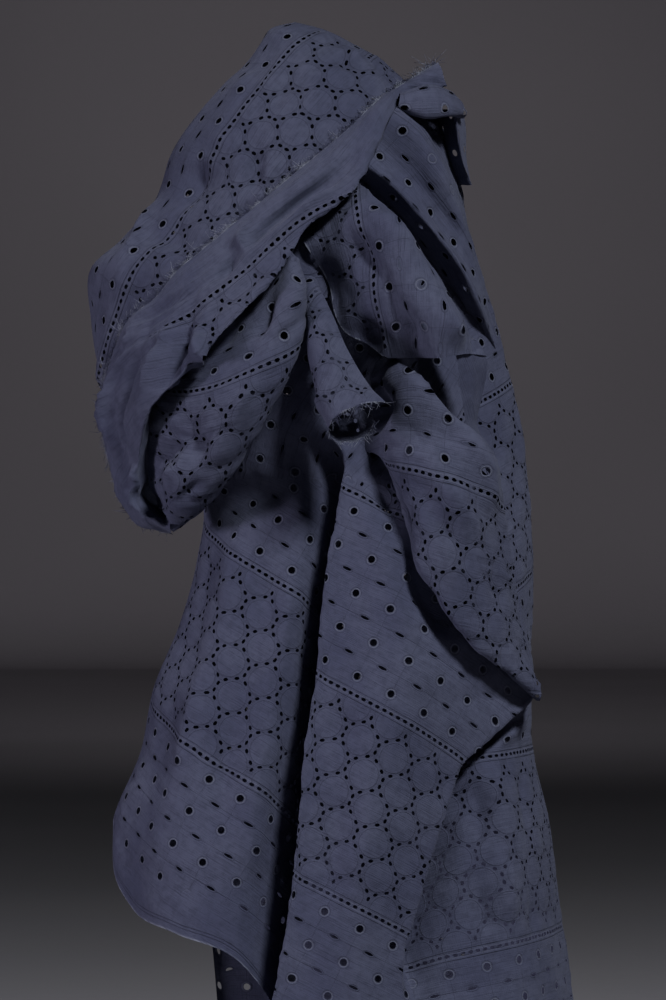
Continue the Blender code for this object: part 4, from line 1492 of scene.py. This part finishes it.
class EYELET_OT_fringe(bpy.types.Operator):
    """Make the loose threads of the raw edges"""

    bl_idname = "eyelet.make_fringe"
    bl_label = "Make loose threads"

    def execute(self, context):
        settings = context.scene.eyelet_cloth
        cloth = bpy.data.objects.get("eyelet_cloth")
        if cloth is None:
            raise RuntimeError("make the cloth first")
        drop_object("loose_threads")
        mesh = fringe_mesh("loose_threads", settings)
        mesh.materials.append(thread_material(settings))
        fringe = bpy.data.objects.new("loose_threads", mesh)
        context.scene.collection.objects.link(fringe)
        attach(fringe, "root")
        return {"FINISHED"}


def area_light(context, name, place, target, size, spread, power, colour):
    drop_object(name)
    data = bpy.data.lights.new(name, "AREA")
    data.size = size
    data.spread = math.radians(spread)
    data.energy = power
    data.color = colour
    light = bpy.data.objects.new(name, data)
    light.location = place
    light.rotation_euler = (Vector(target) - Vector(place)).to_track_quat("-Z", "Y").to_euler()
    context.scene.collection.objects.link(light)
    return light


class EYELET_OT_stage(bpy.types.Operator):
    """Make the plain floor and wall, the soft lights and the camera"""

    bl_idname = "eyelet.make_stage"
    bl_label = "Make stage"

    def execute(self, context):
        settings = context.scene.eyelet_stage
        drop_object("stage")
        floor = CAD_BOUNDS[0][2] - settings.floor_drop
        profile = [(-4.2, floor)]
        for k in range(17):
            angle = math.radians(90 * k / 16)
            profile.append((WALL_DISTANCE - WALL_BEND + WALL_BEND * math.sin(angle),
                            floor + WALL_BEND - WALL_BEND * math.cos(angle)))
        profile.append((WALL_DISTANCE, 5.0))
        points = []
        faces = []
        for x in (-6.0, -2.0, 2.0, 6.0):
            points.extend((x, y, z) for y, z in profile)
        count = len(profile)
        for column in range(3):
            for k in range(count - 1):
                a = column * count + k
                faces.append((a, a + count, a + count + 1, a + 1))
        mesh = bpy.data.meshes.new("stage")
        mesh.from_pydata(points, [], faces)
        mesh.polygons.foreach_set("use_smooth", [True] * len(mesh.polygons))
        mesh.materials.append(stage_material(settings))
        stage = bpy.data.objects.new("stage", mesh)
        context.scene.collection.objects.link(stage)
        area_light(context, "key_light", (0.92, -1.80, 1.46), (0.02, 0.0, -0.58), 0.4, 90,
                   settings.key_power, (0.94, 0.965, 1.0))
        area_light(context, "side_light", (-2.26, -0.80, -0.42), (0.02, 0.0, -0.34), 0.5, 50,
                   settings.side_power, (0.93, 0.86, 1.0))
        area_light(context, "wall_light", (0.0, 2.0, 1.0), (0.0, WALL_DISTANCE, 0.3), 1.0, 56,
                   settings.wall_power, (1.0, 0.955, 1.0))
        world = context.scene.world or bpy.data.worlds.new("World")
        context.scene.world = world
        world.use_nodes = True
        back = world.node_tree.nodes["Background"]
        back.inputs["Color"].default_value = (0.80, 0.78, 0.90, 1.0)
        back.inputs["Strength"].default_value = WORLD_STRENGTH
        drop_object("camera")
        data = bpy.data.cameras.new("camera")
        data.lens = VIEW_LENS
        data.sensor_fit = "VERTICAL"
        data.sensor_height = VIEW_SENSOR
        data.clip_end = 60.0
        camera = bpy.data.objects.new("camera", data)
        camera.location = (VIEW_TARGET[0], -VIEW_DISTANCE, VIEW_TARGET[2])
        camera.rotation_euler = (math.pi / 2, 0.0, 0.0)
        context.scene.collection.objects.link(camera)
        context.scene.camera = camera
        return {"FINISHED"}


class EYELET_PT_panel(bpy.types.Panel):
    """Sizes, colours and the steps in order"""

    bl_idname = "EYELET_PT_panel"
    bl_label = "Eyelet fabric"
    bl_space_type = "VIEW_3D"
    bl_region_type = "UI"
    bl_category = "Eyelet fabric"

    def draw(self, context):
        column = self.layout.column()
        for group in (context.scene.eyelet_cloth, context.scene.eyelet_stage):
            for name in group.__annotations__:
                column.prop(group, name)
        for operator in (EYELET_OT_cloth, EYELET_OT_fringe, EYELET_OT_stage):
            column.operator(operator.bl_idname)


CLASSES = (
    EyeletClothSettings,
    EyeletStageSettings,
    EYELET_OT_cloth,
    EYELET_OT_fringe,
    EYELET_OT_stage,
    EYELET_PT_panel,
)


def register():
    for item in CLASSES:
        bpy.utils.register_class(item)
    bpy.types.Scene.eyelet_cloth = PointerProperty(type=EyeletClothSettings)
    bpy.types.Scene.eyelet_stage = PointerProperty(type=EyeletStageSettings)


def unregister():
    del bpy.types.Scene.eyelet_stage
    del bpy.types.Scene.eyelet_cloth
    for item in reversed(CLASSES):
        bpy.utils.unregister_class(item)


def main():
    register()
    bpy.ops.eyelet.make_stage()
    bpy.ops.eyelet.make_cloth()
    bpy.ops.eyelet.make_fringe()


if __name__ == "__main__":
    main()
